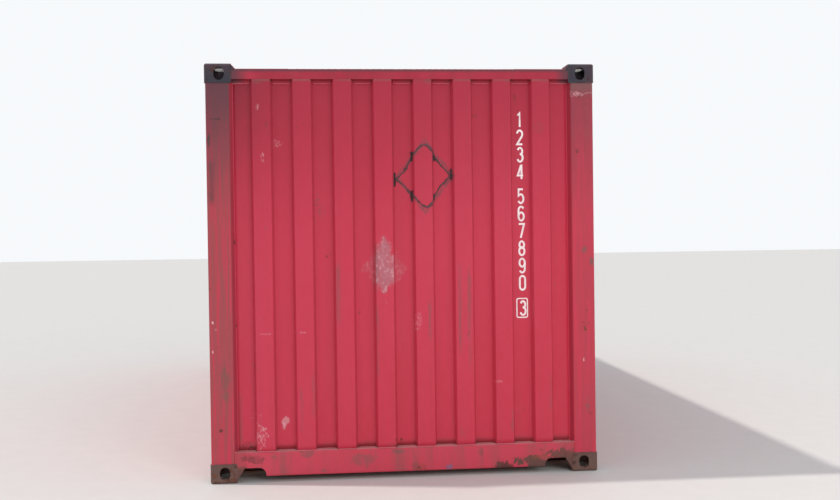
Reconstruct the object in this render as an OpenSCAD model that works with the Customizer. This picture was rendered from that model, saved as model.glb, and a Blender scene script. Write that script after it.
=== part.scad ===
// Dry freight shipping container, 20 ft by 8 ft by 8 ft 6 in.
// Lengths are in millimetres. The origin is on the ground under the middle of the box.
// +X runs to the closed front end, +Y to the right side as seen from that end, +Z is up.
// Left is -Y and right is +Y. The doors are at the rear end, -X.

/* [Envelope] */
// Length over the corner fittings
length = 6058; // [5400:1:7000]
// Width over the corner fittings
width = 2438; // [2300:1:2600]
// Height over the corner fittings
height = 2591; // [2400:1:2900]

/* [Corner fittings] */
// Length of a fitting along the container
fitting_l = 178; // [172:1:184]
// Width of a fitting across the container
fitting_w = 162; // [156:1:168]
// Height of a fitting
fitting_h = 118; // [114:1:124]
// Thickness of the slotted plate
fitting_plate = 28; // [24:1:32]
// Thickness of the two outer walls
fitting_wall = 15; // [12:1:18]
// Thickness of the inner walls
fitting_inner = 10; // [8:1:13]
// Radius of the outer edges
fitting_edge_r = 18; // [8:1:20]
// Length of the twistlock slot
slot_l = 124; // [116:0.5:128]
// Width of the twistlock slot
slot_w = 63.5; // [58:0.5:68]
// Middle of the slot from the end face
slot_from_end = 102.5; // [99:0.5:104]
// Middle of the slot from the side face
slot_from_side = 89.5; // [86:0.5:93]
// Height of the end and side apertures
aperture_h = 79.5; // [74:0.5:82]
// Width of the aperture in the end face
end_aperture_w = 63.5; // [58:0.5:68]
// Width of the aperture in the side face
side_aperture_w = 51; // [46:0.5:56]
// Middle of the apertures from the slotted face
aperture_from_plate = 62; // [60:0.5:64]

/* [Posts and rails] */
// How far the fittings stand proud of the two ends
end_inset = 4; // [3:0.5:8]
// How far the fittings stand proud of the two sides
side_inset = 6; // [4:0.5:10]
// Plate thickness of the corner posts
post_t = 6; // [5:0.5:8]
// Bend radius of the corner posts, outside
post_bend_r = 12; // [9:1:15]
// Width of a front post seen from the end, up to the first recess
post_face_w = 143; // [130:1:155]
// Width of a post seen from the side, up to the first recess
post_side_w = 142; // [130:1:155]
// Width of the lip that carries the edge of a wall
post_lip = 40; // [25:1:48]
// Depth of the box of a rear post, along the container
rear_box_l = 113; // [105:1:120]
// Width of the box of a rear post
rear_box_w = 41.5; // [38:0.5:48]
// Thickness of the box of a rear post
rear_box_t = 10; // [8:0.5:12]
// How far the box of a rear post lies inside the rear end
rear_box_in = 40; // [38:1:44]
// Side of the square top rails
rail_size = 60; // [52:1:66]
// Wall of the square top rails
rail_t = 3; // [2.5:0.5:5]
// Top of the rails below the top of the fittings
rail_drop = 37; // [30:1:42]
// Plate thickness of the sills
sill_t = 4.5; // [3:0.5:6]
// Bend radius of the sills and bottom rails, outside
sill_bend_r = 9; // [7:0.5:11]
// Underside of the sills above the ground
sill_bottom = 38; // [30:1:44]
// Top of the front sill above the ground
sill_top = 192; // [182:1:200]
// Depth of the flanges of the front sill
sill_depth = 60; // [56:1:75]
// Width of the notch at each end of a sill
notch_w = 180; // [150:1:200]
// Top of the notches above the ground
notch_top = 92; // [80:1:104]
// Radius of the corner of a notch
notch_r = 45; // [20:1:50]
// Width of the gusset between each end of the front sill and its bottom fitting
gusset_w = 48; // [40:1:60]
// How far that gusset stands proud of the sill
gusset_proud = 2; // [1:0.5:3]
// Lower tip of the gusset above the ground
gusset_z = 15; // [12:1:30]
// Underside of the bottom side rails above the ground
base_clear = 12.5; // [11:0.5:16]
// Height of the bottom side rails
side_rail_h = 162; // [155:1:170]
// Plate thickness of the bottom side rails
side_rail_t = 4.5; // [3.5:0.5:6]
// Width of the lower flange of the bottom side rails
side_rail_flange = 48; // [44:1:55]
// Width of the ledge of the bottom side rails, under the walls
side_rail_ledge = 45; // [42:1:50]

/* [Walls] */
// Depth of the recesses of the front wall
front_depth = 45.6; // [38:0.1:50]
// Run of each slope of the front wall
front_slope = 18; // [14:0.5:24]
// Width of each recess floor of the front wall
front_floor = 104; // [95:1:112]
// Width of each crest of the front wall
front_crest = 110; // [100:1:120]
// Sheet thickness of the front wall
front_t = 2; // [1.5:0.1:3]
// Depth of the recesses of the side walls and doors
side_depth = 36; // [30:0.5:38]
// Run of each slope of the side walls and doors
side_slope = 68; // [60:1:72]
// Width of each recess floor of the side walls and doors
side_floor = 70; // [62:1:78]
// Width of each crest of the side walls and doors
side_crest = 72; // [64:1:80]
// Sheet thickness of the side walls
side_t = 1.6; // [1.2:0.1:2.5]
// Bend radius of the corrugated sheets, outside
bend_r = 8; // [5:0.5:9]

/* [Roof] */
// Sheet thickness of the roof
roof_t = 2; // [1.5:0.1:3]
// Rise of the roof ribs
roof_rise = 20; // [15:0.5:24]
// Width of a rib along its top
rib_top = 91; // [80:1:100]
// Run of the slopes of a rib
rib_slope = 13.5; // [10:0.5:16]
// Flat between two ribs
rib_gap = 91; // [80:1:100]
// Edge of the roof sheet inside the faces of the rails
roof_edge = 10; // [6:1:14]
// Flat of the roof between the end rails' outer faces and the first rib
roof_flat = 215; // [205:1:250]
// Length of the plates beside the top fittings, across the container
corner_plate_w = 350; // [300:1:400]
// Thickness of those plates
corner_plate_t = 3; // [2:0.5:5]
// Length of the sloping guide bars on those plates, along the container
guide_bar_l = 30; // [20:1:60]
// Reach of a guide bar from its fitting
guide_bar_w = 28; // [20:1:35]
// Thickness of a guide bar
guide_bar_t = 6; // [4:0.5:8]
// Upper edge of a guide bar below the top of the fittings
guide_bar_drop = 2; // [1:0.5:5]

/* [Base] */
// Height of the cross members
cross_h = 122; // [118:1:126]
// Plate thickness of the cross members
cross_t = 4; // [3:0.5:5]
// Top flange of the cross members
cross_top = 45; // [40:1:50]
// Bottom flange of the cross members
cross_bottom = 40; // [35:1:45]
// Spacing of the cross members
cross_pitch = 290; // [280:1:300]
// Width of a fork pocket
fork_w = 360; // [340:1:370]
// Clear height of a fork pocket
fork_h = 115; // [108:0.5:116]
// Distance between the middles of the two fork pockets
fork_spacing = 2050; // [2030:1:2070]
// Thickness of the strap under each mouth of a fork pocket
strap_t = 6; // [5:0.5:7]
// Reach of that strap under the container
strap_reach = 200; // [150:1:250]
// Thickness of the floor boards
floor_t = 28; // [25:0.5:28]
// Gap between floor boards
board_gap = 2; // [1:0.5:4]
// Width of the steel rail between the two rows of boards
centre_rail_w = 46; // [40:1:60]
// Sheet thickness of that rail
centre_rail_t = 3; // [2:0.5:4]

/* [Doors] */
// Rear faces of the door sill and header inside the rear end
door_frame_in = 54; // [50:1:56]
// Outer faces of the doors inside the rear end
door_in = 58; // [57:1:60]
// Height of the door header
header_h = 109; // [100:1:115]
// Depth of the door header
header_d = 80; // [70:1:85]
// Depth of the threshold plate of the door sill
threshold_d = 140; // [125:1:150]
// Gap between a door and the frame around it
door_gap = 10; // [8:0.5:12]
// Thickness of a door
door_t = 50; // [46:1:54]
// Width of the upright tubes of a door
stile_w = 100; // [90:1:110]
// Height of the channels along the top and bottom of a door
door_rail_h = 150; // [140:1:160]
// Wall of the door tubes and channels
door_wall = 3.2; // [2.5:0.1:4]
// Flat of a door panel beside its outer recesses
panel_flat = 90; // [80:1:100]
// Sheet thickness of the door panels
panel_t = 2; // [1.5:0.1:3]
// Diameter of the lock rods
rod_d = 34; // [30:0.5:36]
// Wall of the lock rods
rod_wall = 2.6; // [2:0.1:4]
// Gap between a lock rod and the door
rod_gap = 7; // [6:0.5:8]
// Middle of a lock rod from the near edge of its door
rod_from_edge = 170; // [163:1:185]
// Height of the lower handles above the ground
handle_z = 1080; // [1000:1:1150]
// Step up to the handles of the outer rods
handle_step = 150; // [120:1:180]
// Length of a handle from its rod
handle_l = 430; // [380:1:440]
// Depth of a handle bar
handle_h = 30; // [24:1:36]
// Thickness of a handle bar
handle_t = 9; // [7:0.5:10]
// Radius of the hinge pins
pin_r = 8; // [6:0.5:10]
// Radius of the knuckles round the hinge pins
knuckle_r = 15; // [14:0.5:16]
// Height of a hinge knuckle
knuckle_h = 70; // [60:1:80]
// Height of each hinge lug on a post
lug_h = 24; // [20:1:28]
// Middle of the hinge pins inside the rear end
pin_in = 22; // [21:0.5:23]

/* [Vents] */
// Width of a vent hood
vent_w = 62; // [50:1:64]
// Height of a vent hood
vent_h = 190; // [160:1:220]
// Depth of a vent hood
vent_d = 30; // [24:1:32]
// Top of the vent hoods below the top rails
vent_drop = 90; // [60:1:140]

/* [Hidden] */

$fn = 48;
// Overrun of a cutter past the face it cuts
cut = 1;
// Flat pieces of each sheet metal bend
bend_steps = 3;

// Paint and materials
paint = [0.74, 0.22, 0.30];
worn_paint = [0.52, 0.26, 0.28];
casting_paint = [0.30, 0.24, 0.26];
timber = [0.55, 0.42, 0.28];
rubber = [0.08, 0.08, 0.08];
galvanised = [0.62, 0.63, 0.64];
plastic = [0.70, 0.22, 0.28];

// Outer planes of the envelope and of the steel inside it
end_x = length / 2;
side_y = width / 2;
face_x = end_x - end_inset;
face_y = side_y - side_inset;

// Inner faces of the corner fittings
fitting_x = end_x - fitting_l;
fitting_y = side_y - fitting_w;
fitting_top_z = height - fitting_h;

// Levels
rail_top = height - rail_drop;
rail_under = rail_top - rail_size;
side_rail_top = base_clear + side_rail_h;
cross_z = base_clear + side_rail_t;
floor_z = cross_z + cross_h;
floor_top = floor_z + floor_t;
header_z = rail_top - header_h;

// Where the first slope of each wall starts
post_face_y = face_y - post_face_w;
post_side_x = face_x - post_side_w;

// Numbers of recesses that fit between the posts, and between the stiles of a door
front_count = round((2 * post_face_y + front_crest) / (front_floor + 2 * front_slope + front_crest));
side_count = round((2 * post_side_x + side_crest) / (side_floor + 2 * side_slope + side_crest));

// Rear frame
rear_box_y = face_y - rear_box_w;
post_x = -(end_x - rear_box_in);
door_frame_x = -(end_x - door_frame_in);
door_x = -(end_x - door_in);
pin_x = -(end_x - pin_in);
pin_y = rear_box_y + knuckle_r + 2;

// Doors: each runs from the centre gap to the gap beside its post
leaf_y0 = door_gap / 2;
leaf_y1 = rear_box_y - door_gap;
leaf_w = leaf_y1 - leaf_y0;
leaf_z0 = floor_top + door_gap;
leaf_z1 = header_z - door_gap;
panel_w = leaf_w - 2 * stile_w;
panel_span = panel_w - 2 * panel_flat;
panel_count = round((panel_span + side_crest) / (side_floor + 2 * side_slope + side_crest));

// Lock rods: their middles, and the levels of their cams
rod_x = door_x - rod_gap - rod_d / 2;
rod_ys = [leaf_y0 + rod_from_edge, leaf_y1 - rod_from_edge];
cam_h = 36;
cam_z0 = (floor_top + sill_bottom) / 2;
cam_z1 = (rail_top + header_z) / 2;
cam_reach = 30;
hub_h = 64;
hub_r = rod_d / 2 + 5;
keeper_t = 7;
keeper_clear = 2;
catch_t = 5;
catch_w = 60;
catch_clear = 0.3;

// Guides hold each rod near its ends and on both sides of the handles
guide_h = 36;
guide_w = 76;
guide_clear = 0.3;
guide_foot = 6;
guide_zs = [leaf_z0 + door_rail_h / 2, handle_z - 260, handle_z + handle_step + 320, leaf_z1 - door_rail_h / 2];

// Seal round each door
seal_in = 12;
seal_w = 26;
seal_lip = 7;
seal_clear = 0.3;

// Hinges are spread evenly up each door
hinge_count = 4;
hinge_end = 150;
hinge_zs = [for (i = [0 : hinge_count - 1])
    leaf_z0 + hinge_end + i * (leaf_z1 - leaf_z0 - 2 * hinge_end) / (hinge_count - 1)];
blade_t = 8;
blade_l = 120;
hinge_clear = 0.3;

// Cross members stand between the fork pockets and from each pocket to the end
fork_x = fork_spacing / 2;
fork_t = 4.5;
first_cross = cross_pitch / 2;
inner_cross = floor((fork_x - fork_w / 2 - fork_t - 2 * cross_top - first_cross) / cross_pitch);
outer_first = fork_x + fork_w / 2 + fork_t + 2 * cross_top;
outer_cross = floor((fitting_x - cross_top - outer_first) / cross_pitch);
cross_xs = [
    for (i = [0 : inner_cross]) first_cross + i * cross_pitch,
    for (i = [0 : outer_cross]) outer_first + i * cross_pitch
];

// Floor boards reach into the front sill and stop at the threshold plate
floor_x1 = face_x - sill_t - 3;
floor_x0 = door_frame_x + threshold_d + board_gap;
floor_y1 = face_y - max(side_rail_t, post_t) - 2;
board_rows = 3;

// Unit vector along v
function unit(v) = v / norm(v);

// Left-hand normal of the run from a to b
function left_of(a, b) = let (d = unit(b - a)) [-d[1], d[0]];

// Arc of radius r that replaces the corner b between a and c
function bend(a, b, c, r) = let (
    u = unit(a - b),
    v = unit(c - b),
    inside = acos(u * v),
    turn = 180 - inside,
    reach = r / tan(inside / 2),
    middle = b + unit(u + v) * r / sin(inside / 2),
    from = b + u * reach - middle,
    to = b + v * reach - middle
) [for (i = [0 : bend_steps]) let (t = i / bend_steps)
    middle + (from * sin((1 - t) * turn) + to * sin(t * turn)) / sin(turn)];

// Path with each of its inner corners bent to radius r
function bent(path, r) = [
    path[0],
    for (i = [1 : len(path) - 2]) each bend(path[i - 1], path[i], path[i + 1], r),
    path[len(path) - 1]
];

// Path moved t to its left, with mitred corners
function beside(path, t) = let (last = len(path) - 1) [
    for (i = [0 : last]) let (
        before = left_of(path[max(i - 1, 0)], path[max(i, 1)]),
        after = left_of(path[min(i, last - 1)], path[min(i + 1, last)])
    ) path[i] + t * (before + after) / (1 + before * after)
];

function reversed(list) = [for (i = [len(list) - 1 : -1 : 0]) list[i]];

// Corners of a corrugated run centred on 0: n recesses of the given floor, slope and depth
function corrugation(span, n, slope, base, depth) = let (
    crest = n > 1 ? (span - n * (base + 2 * slope)) / (n - 1) : 0
) [for (i = [0 : n - 1]) let (s = -span / 2 + i * (base + 2 * slope + crest)) each [
    [s, 0],
    [s + slope, -depth],
    [s + slope + base, -depth],
    [s + 2 * slope + base, 0]
]];

// Wall between two posts: it starts and ends on the recess floor, at the posts' lips
function wall_path(span, n, slope, base, depth) = let (
    all = corrugation(span, n, slope, base, depth),
    edge = span / 2 - slope - post_lip
) [
    [-edge, -depth],
    for (i = [2 : len(all) - 3]) all[i],
    [edge, -depth]
];

// Cross-section of a sheet of thickness t, bent along path, with its body to the left
module sheet_2d(path, t, r) {
    outer = bent(path, r);
    polygon(concat(outer, reversed(beside(outer, t))));
}

// Rectangle from the origin towards -x and -y, with the corner at the origin rounded
module plate_2d(a, b, r) {
    translate([-a, -b]) square([a - r, b]);
    translate([-a, -b]) square([a, b - r]);
    translate([-r, -r]) circle(r);
}

// Slot with round ends, l long and w wide
module slot_2d(l, w) {
    square([l - w, w], center = true);
    for (s = [-1, 1]) translate([s * (l - w) / 2, 0]) circle(d = w);
}

// Square tube section of side a and wall t, from the origin towards +x and +y
module tube_2d(a, b, t) {
    difference() {
        square([a, b]);
        translate([t, t]) square([a - 2 * t, b - 2 * t]);
    }
}

// Section drawn in x and z, drawn out along y over both halves of the width
module across(l) {
    rotate([90, 0, 0]) linear_extrude(l, center = true) children();
}

// Section drawn in y and z, drawn out along x from x0 to x1
module along(x0, x1) {
    translate([x0, 0, 0]) rotate([90, 0, 90]) linear_extrude(x1 - x0) children();
}

// Section drawn in x and y, drawn out upwards from z0 to z1
module upright(z0, z1) {
    translate([0, 0, z0]) linear_extrude(z1 - z0) children();
}

// Child drawn on both sides of the container
module both_sides() {
    children();
    mirror([0, 1, 0]) children();
}

// Child drawn for the left side from one drawn for the right
module to_left() {
    mirror([0, 1, 0]) children();
}

module to_rear() {
    mirror([1, 0, 0]) children();
}

// Space that a fitting takes up, for the seats cut in its neighbours
module fitting_space(top) {
    translate([fitting_x, fitting_y, top ? fitting_top_z : -cut])
        cube([fitting_l + cut, fitting_w + cut, fitting_h + cut]);
}

// Corner fittings

// Hollow casting with its outer corner at the origin and its slotted plate on top
module fitting() {
    difference() {
        intersection() {
            upright(-fitting_h, 0) plate_2d(fitting_l, fitting_w, fitting_edge_r);
            along(-fitting_l, 0) plate_2d(fitting_w, fitting_h, fitting_edge_r);
            translate([0, -fitting_w / 2, 0]) across(fitting_w)
                plate_2d(fitting_l, fitting_h, fitting_edge_r);
        }
        translate([-fitting_l + fitting_inner, -fitting_w + fitting_inner, -fitting_h + fitting_inner])
            cube([
                fitting_l - fitting_inner - fitting_wall,
                fitting_w - fitting_inner - fitting_wall,
                fitting_h - fitting_inner - fitting_plate
            ]);
        translate([-slot_from_end, -slot_from_side, 0])
            upright(-fitting_plate - cut, cut) slot_2d(slot_l, slot_w);
        translate([0, -slot_from_side, -aperture_from_plate])
            along(-fitting_wall - cut, cut) rotate(90) slot_2d(aperture_h, end_aperture_w);
        translate([-slot_from_end, -(fitting_wall - cut) / 2, -aperture_from_plate])
            across(fitting_wall + 3 * cut) rotate(90) slot_2d(aperture_h, side_aperture_w);
    }
}

// One of the eight fittings, by the signs of its corner
module fitting_at(sx, sy, sz) {
    color(casting_paint)
        translate([sx * end_x, sy * side_y, sz > 0 ? height : 0])
            mirror([sx > 0 ? 0 : 1, 0, 0])
                mirror([0, sy > 0 ? 0 : 1, 0])
                    mirror([0, 0, sz > 0 ? 0 : 1])
                        fitting();
}

// Corner posts

// One bent plate: a lip and slope for the front wall, the corner, a slope and lip for the side
module front_post() {
    path = [
        [face_x - front_depth, post_face_y - front_slope - post_lip],
        [face_x - front_depth, post_face_y - front_slope],
        [face_x, post_face_y],
        [face_x, face_y],
        [post_side_x, face_y],
        [post_side_x - side_slope, face_y - side_depth],
        [post_side_x - side_slope - post_lip, face_y - side_depth]
    ];
    color(worn_paint) difference() {
        upright(fitting_h, rail_under) sheet_2d(path, post_t, post_bend_r);
        fitting_space(true);
        translate([face_x - 2 * front_depth, post_face_y - 2 * post_face_w, 0])
            cube([2 * front_depth + cut, 2 * post_face_w, sill_top]);
        translate([post_side_x - 2 * post_side_w, face_y - 2 * side_depth, 0])
            cube([2 * post_side_w, 2 * side_depth + cut, side_rail_top]);
    }
}

// Lug that carries the end of a hinge pin
module hinge_lug(z) {
    translate([0, 0, z]) difference() {
        upright(0, lug_h) {
            translate([pin_x, pin_y]) circle(knuckle_r - 1);
            translate([pin_x, pin_y - knuckle_r + 1])
                square([post_x - pin_x, 2 * (knuckle_r - 1)]);
        }
        translate([pin_x, pin_y, -cut]) cylinder(r = pin_r + hinge_clear, h = lug_h + 2 * cut);
    }
}

// Side plate with the slope and lip for the side wall, and the box that the door closes against
module rear_post() {
    path = [
        [-post_side_x + side_slope + post_lip, face_y - side_depth],
        [-post_side_x + side_slope, face_y - side_depth],
        [-post_side_x, face_y],
        [-face_x, face_y]
    ];
    color(worn_paint) union() {
        difference() {
            upright(fitting_h, rail_under) {
                sheet_2d(path, post_t, post_bend_r);
                translate([post_x, rear_box_y])
                    tube_2d(rear_box_l, rear_box_w - post_t / 2, rear_box_t);
            }
            to_rear() fitting_space(true);
            translate([-post_side_x, face_y - 2 * side_depth, 0])
                cube([2 * post_side_w, 2 * side_depth + cut, side_rail_top]);
        }
        for (z = hinge_zs) {
            hinge_lug(z + knuckle_h / 2 + 1);
            hinge_lug(z - knuckle_h / 2 - 1 - lug_h);
        }
    }
}

// Front frame

// Notch beside a bottom fitting, in y and z, with its far corner rounded
module notch_2d() {
    translate([fitting_y - notch_w, notch_top]) mirror([1, 0])
        plate_2d(notch_w + cut, notch_top + cut, notch_r);
}

// Pressed channel with a notch at each end and a gusset from each notch to the fitting
module front_sill() {
    path = [
        [face_x - sill_depth, sill_bottom],
        [face_x, sill_bottom],
        [face_x, sill_top],
        [face_x - sill_depth, sill_top]
    ];
    color(paint) union() {
        difference() {
            across(2 * post_face_y) sheet_2d(path, sill_t, sill_bend_r);
            both_sides() {
                fitting_space(false);
                along(face_x - sill_depth - cut, face_x + cut) notch_2d();
            }
        }
        both_sides() along(face_x - sill_t / 2, face_x + gusset_proud) polygon([
            [fitting_y, gusset_z],
            [fitting_y, sill_top - sill_bend_r],
            [fitting_y - gusset_w, sill_top - sill_bend_r],
            [fitting_y - gusset_w, notch_top]
        ]);
    }
}

module front_top_rail() {
    color(paint) across(2 * fitting_y)
        translate([face_x - rail_size, rail_under]) tube_2d(rail_size, rail_size, rail_t);
}

module front_wall() {
    path = wall_path(2 * post_face_y, front_count, front_slope, front_floor, front_depth);
    color(paint) upright(sill_top, rail_under)
        sheet_2d([for (p = path) [face_x + p[1], p[0]]], front_t, bend_r);
}

// Sides

module side_wall() {
    path = wall_path(2 * post_side_x, side_count, side_slope, side_floor, side_depth);
    color(paint) upright(side_rail_top, rail_under)
        sheet_2d([for (p = path) [-p[0], face_y + p[1]]], side_t, bend_r);
}

module top_rail() {
    color(paint) along(-fitting_x, fitting_x)
        translate([face_y - rail_size, rail_under]) tube_2d(rail_size, rail_size, rail_t);
}

// Channel with a window at each fork pocket
module bottom_rail() {
    path = [
        [face_y - side_rail_flange, base_clear],
        [face_y, base_clear],
        [face_y, side_rail_top],
        [face_y - side_rail_ledge, side_rail_top]
    ];
    color(paint) difference() {
        along(-post_side_x, post_side_x) sheet_2d(path, side_rail_t, sill_bend_r);
        fitting_space(false);
        to_rear() fitting_space(false);
        for (s = [-1, 1])
            translate([s * fork_x - fork_w / 2, face_y - side_rail_flange - cut, 0])
                cube([fork_w, side_rail_flange + 2 * cut, floor_z - fork_t]);
    }
}

// Roof

// Everything under the upper surface of the roof sheet, or under its lower one
module roof_body(z, ribs, grow) {
    pitch = rib_top + 2 * rib_slope + rib_gap;
    first = -(ribs * pitch - rib_gap) / 2;
    rib_end = face_y - rail_size - roof_edge;
    intersection() {
        across(2 * rib_end + 2 * rib_slope) polygon([
            for (i = [0 : ribs - 1]) let (s = first + i * pitch) each [
                [s - grow, z],
                [s + rib_slope - grow, z + roof_rise],
                [s + rib_slope + rib_top + grow, z + roof_rise],
                [s + 2 * rib_slope + rib_top + grow, z]
            ]
        ]);
        along(-face_x, face_x) polygon([
            [-rib_end - grow, z],
            [-rib_end + rib_slope - grow, z + roof_rise],
            [rib_end - rib_slope + grow, z + roof_rise],
            [rib_end + grow, z]
        ]);
    }
}

module roof() {
    span = 2 * (face_x - roof_flat);
    ribs = floor((span + rib_gap) / (rib_top + 2 * rib_slope + rib_gap));
    color(paint) difference() {
        union() {
            translate([-face_x + roof_edge, -face_y + roof_edge, rail_top])
                cube([2 * (face_x - roof_edge), 2 * (face_y - roof_edge), roof_t]);
            roof_body(rail_top + roof_t, ribs, 0);
        }
        roof_body(rail_top, ribs, -roof_t / 2);
        both_sides() {
            fitting_space(true);
            to_rear() fitting_space(true);
        }
    }
}

// Bar that slopes from the top of a fitting down to the plate, drawn in y and z
module guide_bar_2d() {
    top = height - guide_bar_drop;
    foot = rail_top + roof_t + corner_plate_t;
    slope = atan2(top - foot, guide_bar_w);
    polygon([
        [fitting_y, top],
        [fitting_y - guide_bar_w, foot],
        [fitting_y - guide_bar_w + guide_bar_t / sin(slope), foot],
        [fitting_y, top - guide_bar_t / cos(slope)]
    ]);
}

// Plates beside the top fittings, each with the bar that guides a lifting frame onto its fitting
module roof_corner_plates() {
    color(worn_paint) both_sides() for (s = [0, 1]) mirror([s, 0, 0]) union() {
        translate([face_x - roof_flat + 2 * roof_edge, fitting_y - corner_plate_w, rail_top + roof_t])
            cube([roof_flat - 3 * roof_edge, corner_plate_w, corner_plate_t]);
        along(face_x - roof_edge - guide_bar_l, face_x - roof_edge) guide_bar_2d();
    }
}

// Base

// Channel across the container, with its web at x and its flanges towards +x
module cross_member(x) {
    path = [
        [x + cross_top, floor_z],
        [x, floor_z],
        [x, cross_z],
        [x + cross_bottom, cross_z]
    ];
    across(2 * (face_y - side_rail_t)) sheet_2d(path, cross_t, 2 * cross_t);
}

module cross_members() {
    color(worn_paint) for (s = [0, 1]) mirror([s, 0, 0])
        for (x = cross_xs) cross_member(x);
}

// Tunnel through the base: a top plate, a channel on each side and straps under the mouths
module fork_pocket() {
    path = [
        [fork_w / 2 + cross_top, floor_z],
        [fork_w / 2, floor_z],
        [fork_w / 2, cross_z],
        [fork_w / 2 + cross_bottom, cross_z]
    ];
    inner_y = face_y - side_rail_t;
    color(worn_paint) translate([fork_x, 0, 0]) union() {
        for (s = [0, 1]) mirror([s, 0, 0]) across(2 * inner_y) sheet_2d(path, fork_t, fork_t * 1.2);
        translate([-fork_w / 2 - cross_top / 2, -inner_y, floor_z - fork_t])
            cube([fork_w + cross_top, 2 * inner_y, fork_t]);
        both_sides() translate([-fork_w / 2, face_y - strap_reach, floor_z - fork_t - fork_h - strap_t])
            cube([fork_w, strap_reach, strap_t]);
    }
}

// Two rows of boards with the centre rail between them
module floor_boards() {
    board_l = (floor_x1 - floor_x0 + board_gap) / board_rows - board_gap;
    inner = centre_rail_w / 2 + board_gap;
    color(timber) both_sides() for (i = [0 : board_rows - 1])
        translate([floor_x0 + i * (board_l + board_gap), inner, floor_z])
            cube([board_l, floor_y1 - inner, floor_t]);
}

// Hat section, flush with the boards
module floor_centre_rail() {
    half = centre_rail_w / 2;
    foot = centre_rail_w / 4;
    path = [
        [half, floor_z + centre_rail_t],
        [foot, floor_z + centre_rail_t],
        [foot, floor_top],
        [-foot, floor_top],
        [-foot, floor_z + centre_rail_t],
        [-half, floor_z + centre_rail_t]
    ];
    color(galvanised) along(floor_x0, floor_x1) sheet_2d(path, centre_rail_t, centre_rail_t * 1.2);
}

// Rear frame

// Pressed sill with its top as the threshold, notched at the ends as the front sill is
module door_sill() {
    path = [
        [door_frame_x + threshold_d, floor_top],
        [door_frame_x, floor_top],
        [door_frame_x, sill_bottom],
        [door_frame_x + sill_depth, sill_bottom]
    ];
    color(paint) difference() {
        across(2 * rear_box_y) sheet_2d(path, sill_t, sill_bend_r);
        both_sides() {
            to_rear() fitting_space(false);
            along(door_frame_x - cut, door_frame_x + sill_depth + cut) notch_2d();
        }
    }
}

module door_header() {
    color(paint) difference() {
        across(2 * rear_box_y) translate([door_frame_x, header_z]) tube_2d(header_d, header_h, sill_t);
        both_sides() to_rear() fitting_space(true);
    }
}

// Doors

// Two upright tubes joined by a channel at the top and one at the bottom
module door_frame() {
    channel = [
        [door_x + door_t, 0],
        [door_x, 0],
        [door_x, -door_rail_h],
        [door_x + door_t, -door_rail_h]
    ];
    middle = (leaf_y0 + leaf_y1) / 2;
    color(paint) union() {
        for (y = [leaf_y0, leaf_y1 - stile_w])
            upright(leaf_z0, leaf_z1) translate([door_x, y]) tube_2d(door_t, stile_w, door_wall);
        for (z = [leaf_z0 + door_rail_h, leaf_z1])
            translate([0, middle, z]) across(panel_w + door_wall) sheet_2d(channel, door_wall, 2 * door_wall);
    }
}

module door_panel() {
    runs = corrugation(panel_span, panel_count, side_slope, side_floor, side_depth);
    path = concat([[-panel_w / 2, 0]], runs, [[panel_w / 2, 0]]);
    middle = (leaf_y0 + leaf_y1) / 2;
    color(paint) upright(leaf_z0 + door_rail_h, leaf_z1 - door_rail_h)
        sheet_2d([for (p = path) [door_x - p[1], middle - p[0]]], panel_t, bend_r);
}

// Ring round a door from x0 to x1, that fills the given share of the gaps around it
module seal_ring(x0, x1, share) {
    middle = share * (door_gap / 2 - seal_clear);
    outer = share * (door_gap - seal_clear);
    along(x0, x1) difference() {
        translate([leaf_y0 - middle, leaf_z0 - outer])
            square([leaf_w + middle + outer, leaf_z1 - leaf_z0 + 2 * outer]);
        translate([leaf_y0, leaf_z0]) square([leaf_w, leaf_z1 - leaf_z0]);
    }
}

// Rubber strip round a door, with two lips that press on the frame
module door_gasket() {
    color(rubber) {
        seal_ring(door_x + seal_in, door_x + seal_in + seal_lip, 1);
        seal_ring(door_x + seal_in + seal_lip, door_x + seal_in + seal_w - seal_lip, 0.6);
        seal_ring(door_x + seal_in + seal_w - seal_lip, door_x + seal_in + seal_w, 1);
    }
}

// Blade on the door, wrapped round a pin that stands in the post's lugs
module door_hinges() {
    color(paint) for (z = hinge_zs) {
        translate([0, 0, z - knuckle_h / 2]) linear_extrude(knuckle_h) {
            translate([pin_x, pin_y]) circle(knuckle_r);
            polygon([
                [door_x, leaf_y1 - blade_l],
                [door_x, leaf_y1],
                [post_x - 1, rear_box_y - 1],
                [pin_x + knuckle_r, pin_y],
                [pin_x - knuckle_r / 2, pin_y - knuckle_r * sin(60)],
                [door_x - 2 * blade_t, leaf_y1 - blade_t],
                [door_x - blade_t, leaf_y1 - 2 * blade_t],
                [door_x - blade_t, leaf_y1 - blade_l]
            ]);
        }
        translate([pin_x, pin_y, z - knuckle_h / 2 - lug_h - 6])
            cylinder(r = pin_r, h = knuckle_h + 2 * lug_h + 12);
    }
}

// Handle bar that cranks away from its rod and runs over the door towards +y
module handle() {
    path = [
        [rod_x + handle_t / 2, 0],
        [rod_x + handle_t / 2, hub_r + 12],
        [rod_x - handle_t, hub_r + 40],
        [rod_x - handle_t, handle_l]
    ];
    translate([0, 0, -handle_h / 2]) linear_extrude(handle_h) sheet_2d(path, handle_t, handle_t * 1.2);
}

// Head on a rod's end, with two claws that hook behind the keeper's lips
module cam(z) {
    translate([rod_x, 0, z - cam_h / 2]) {
        cylinder(r = hub_r, h = cam_h);
        translate([0, -cam_reach, cam_h / 4]) cube([rod_d / 3, 2 * cam_reach, cam_h / 2]);
    }
}

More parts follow.
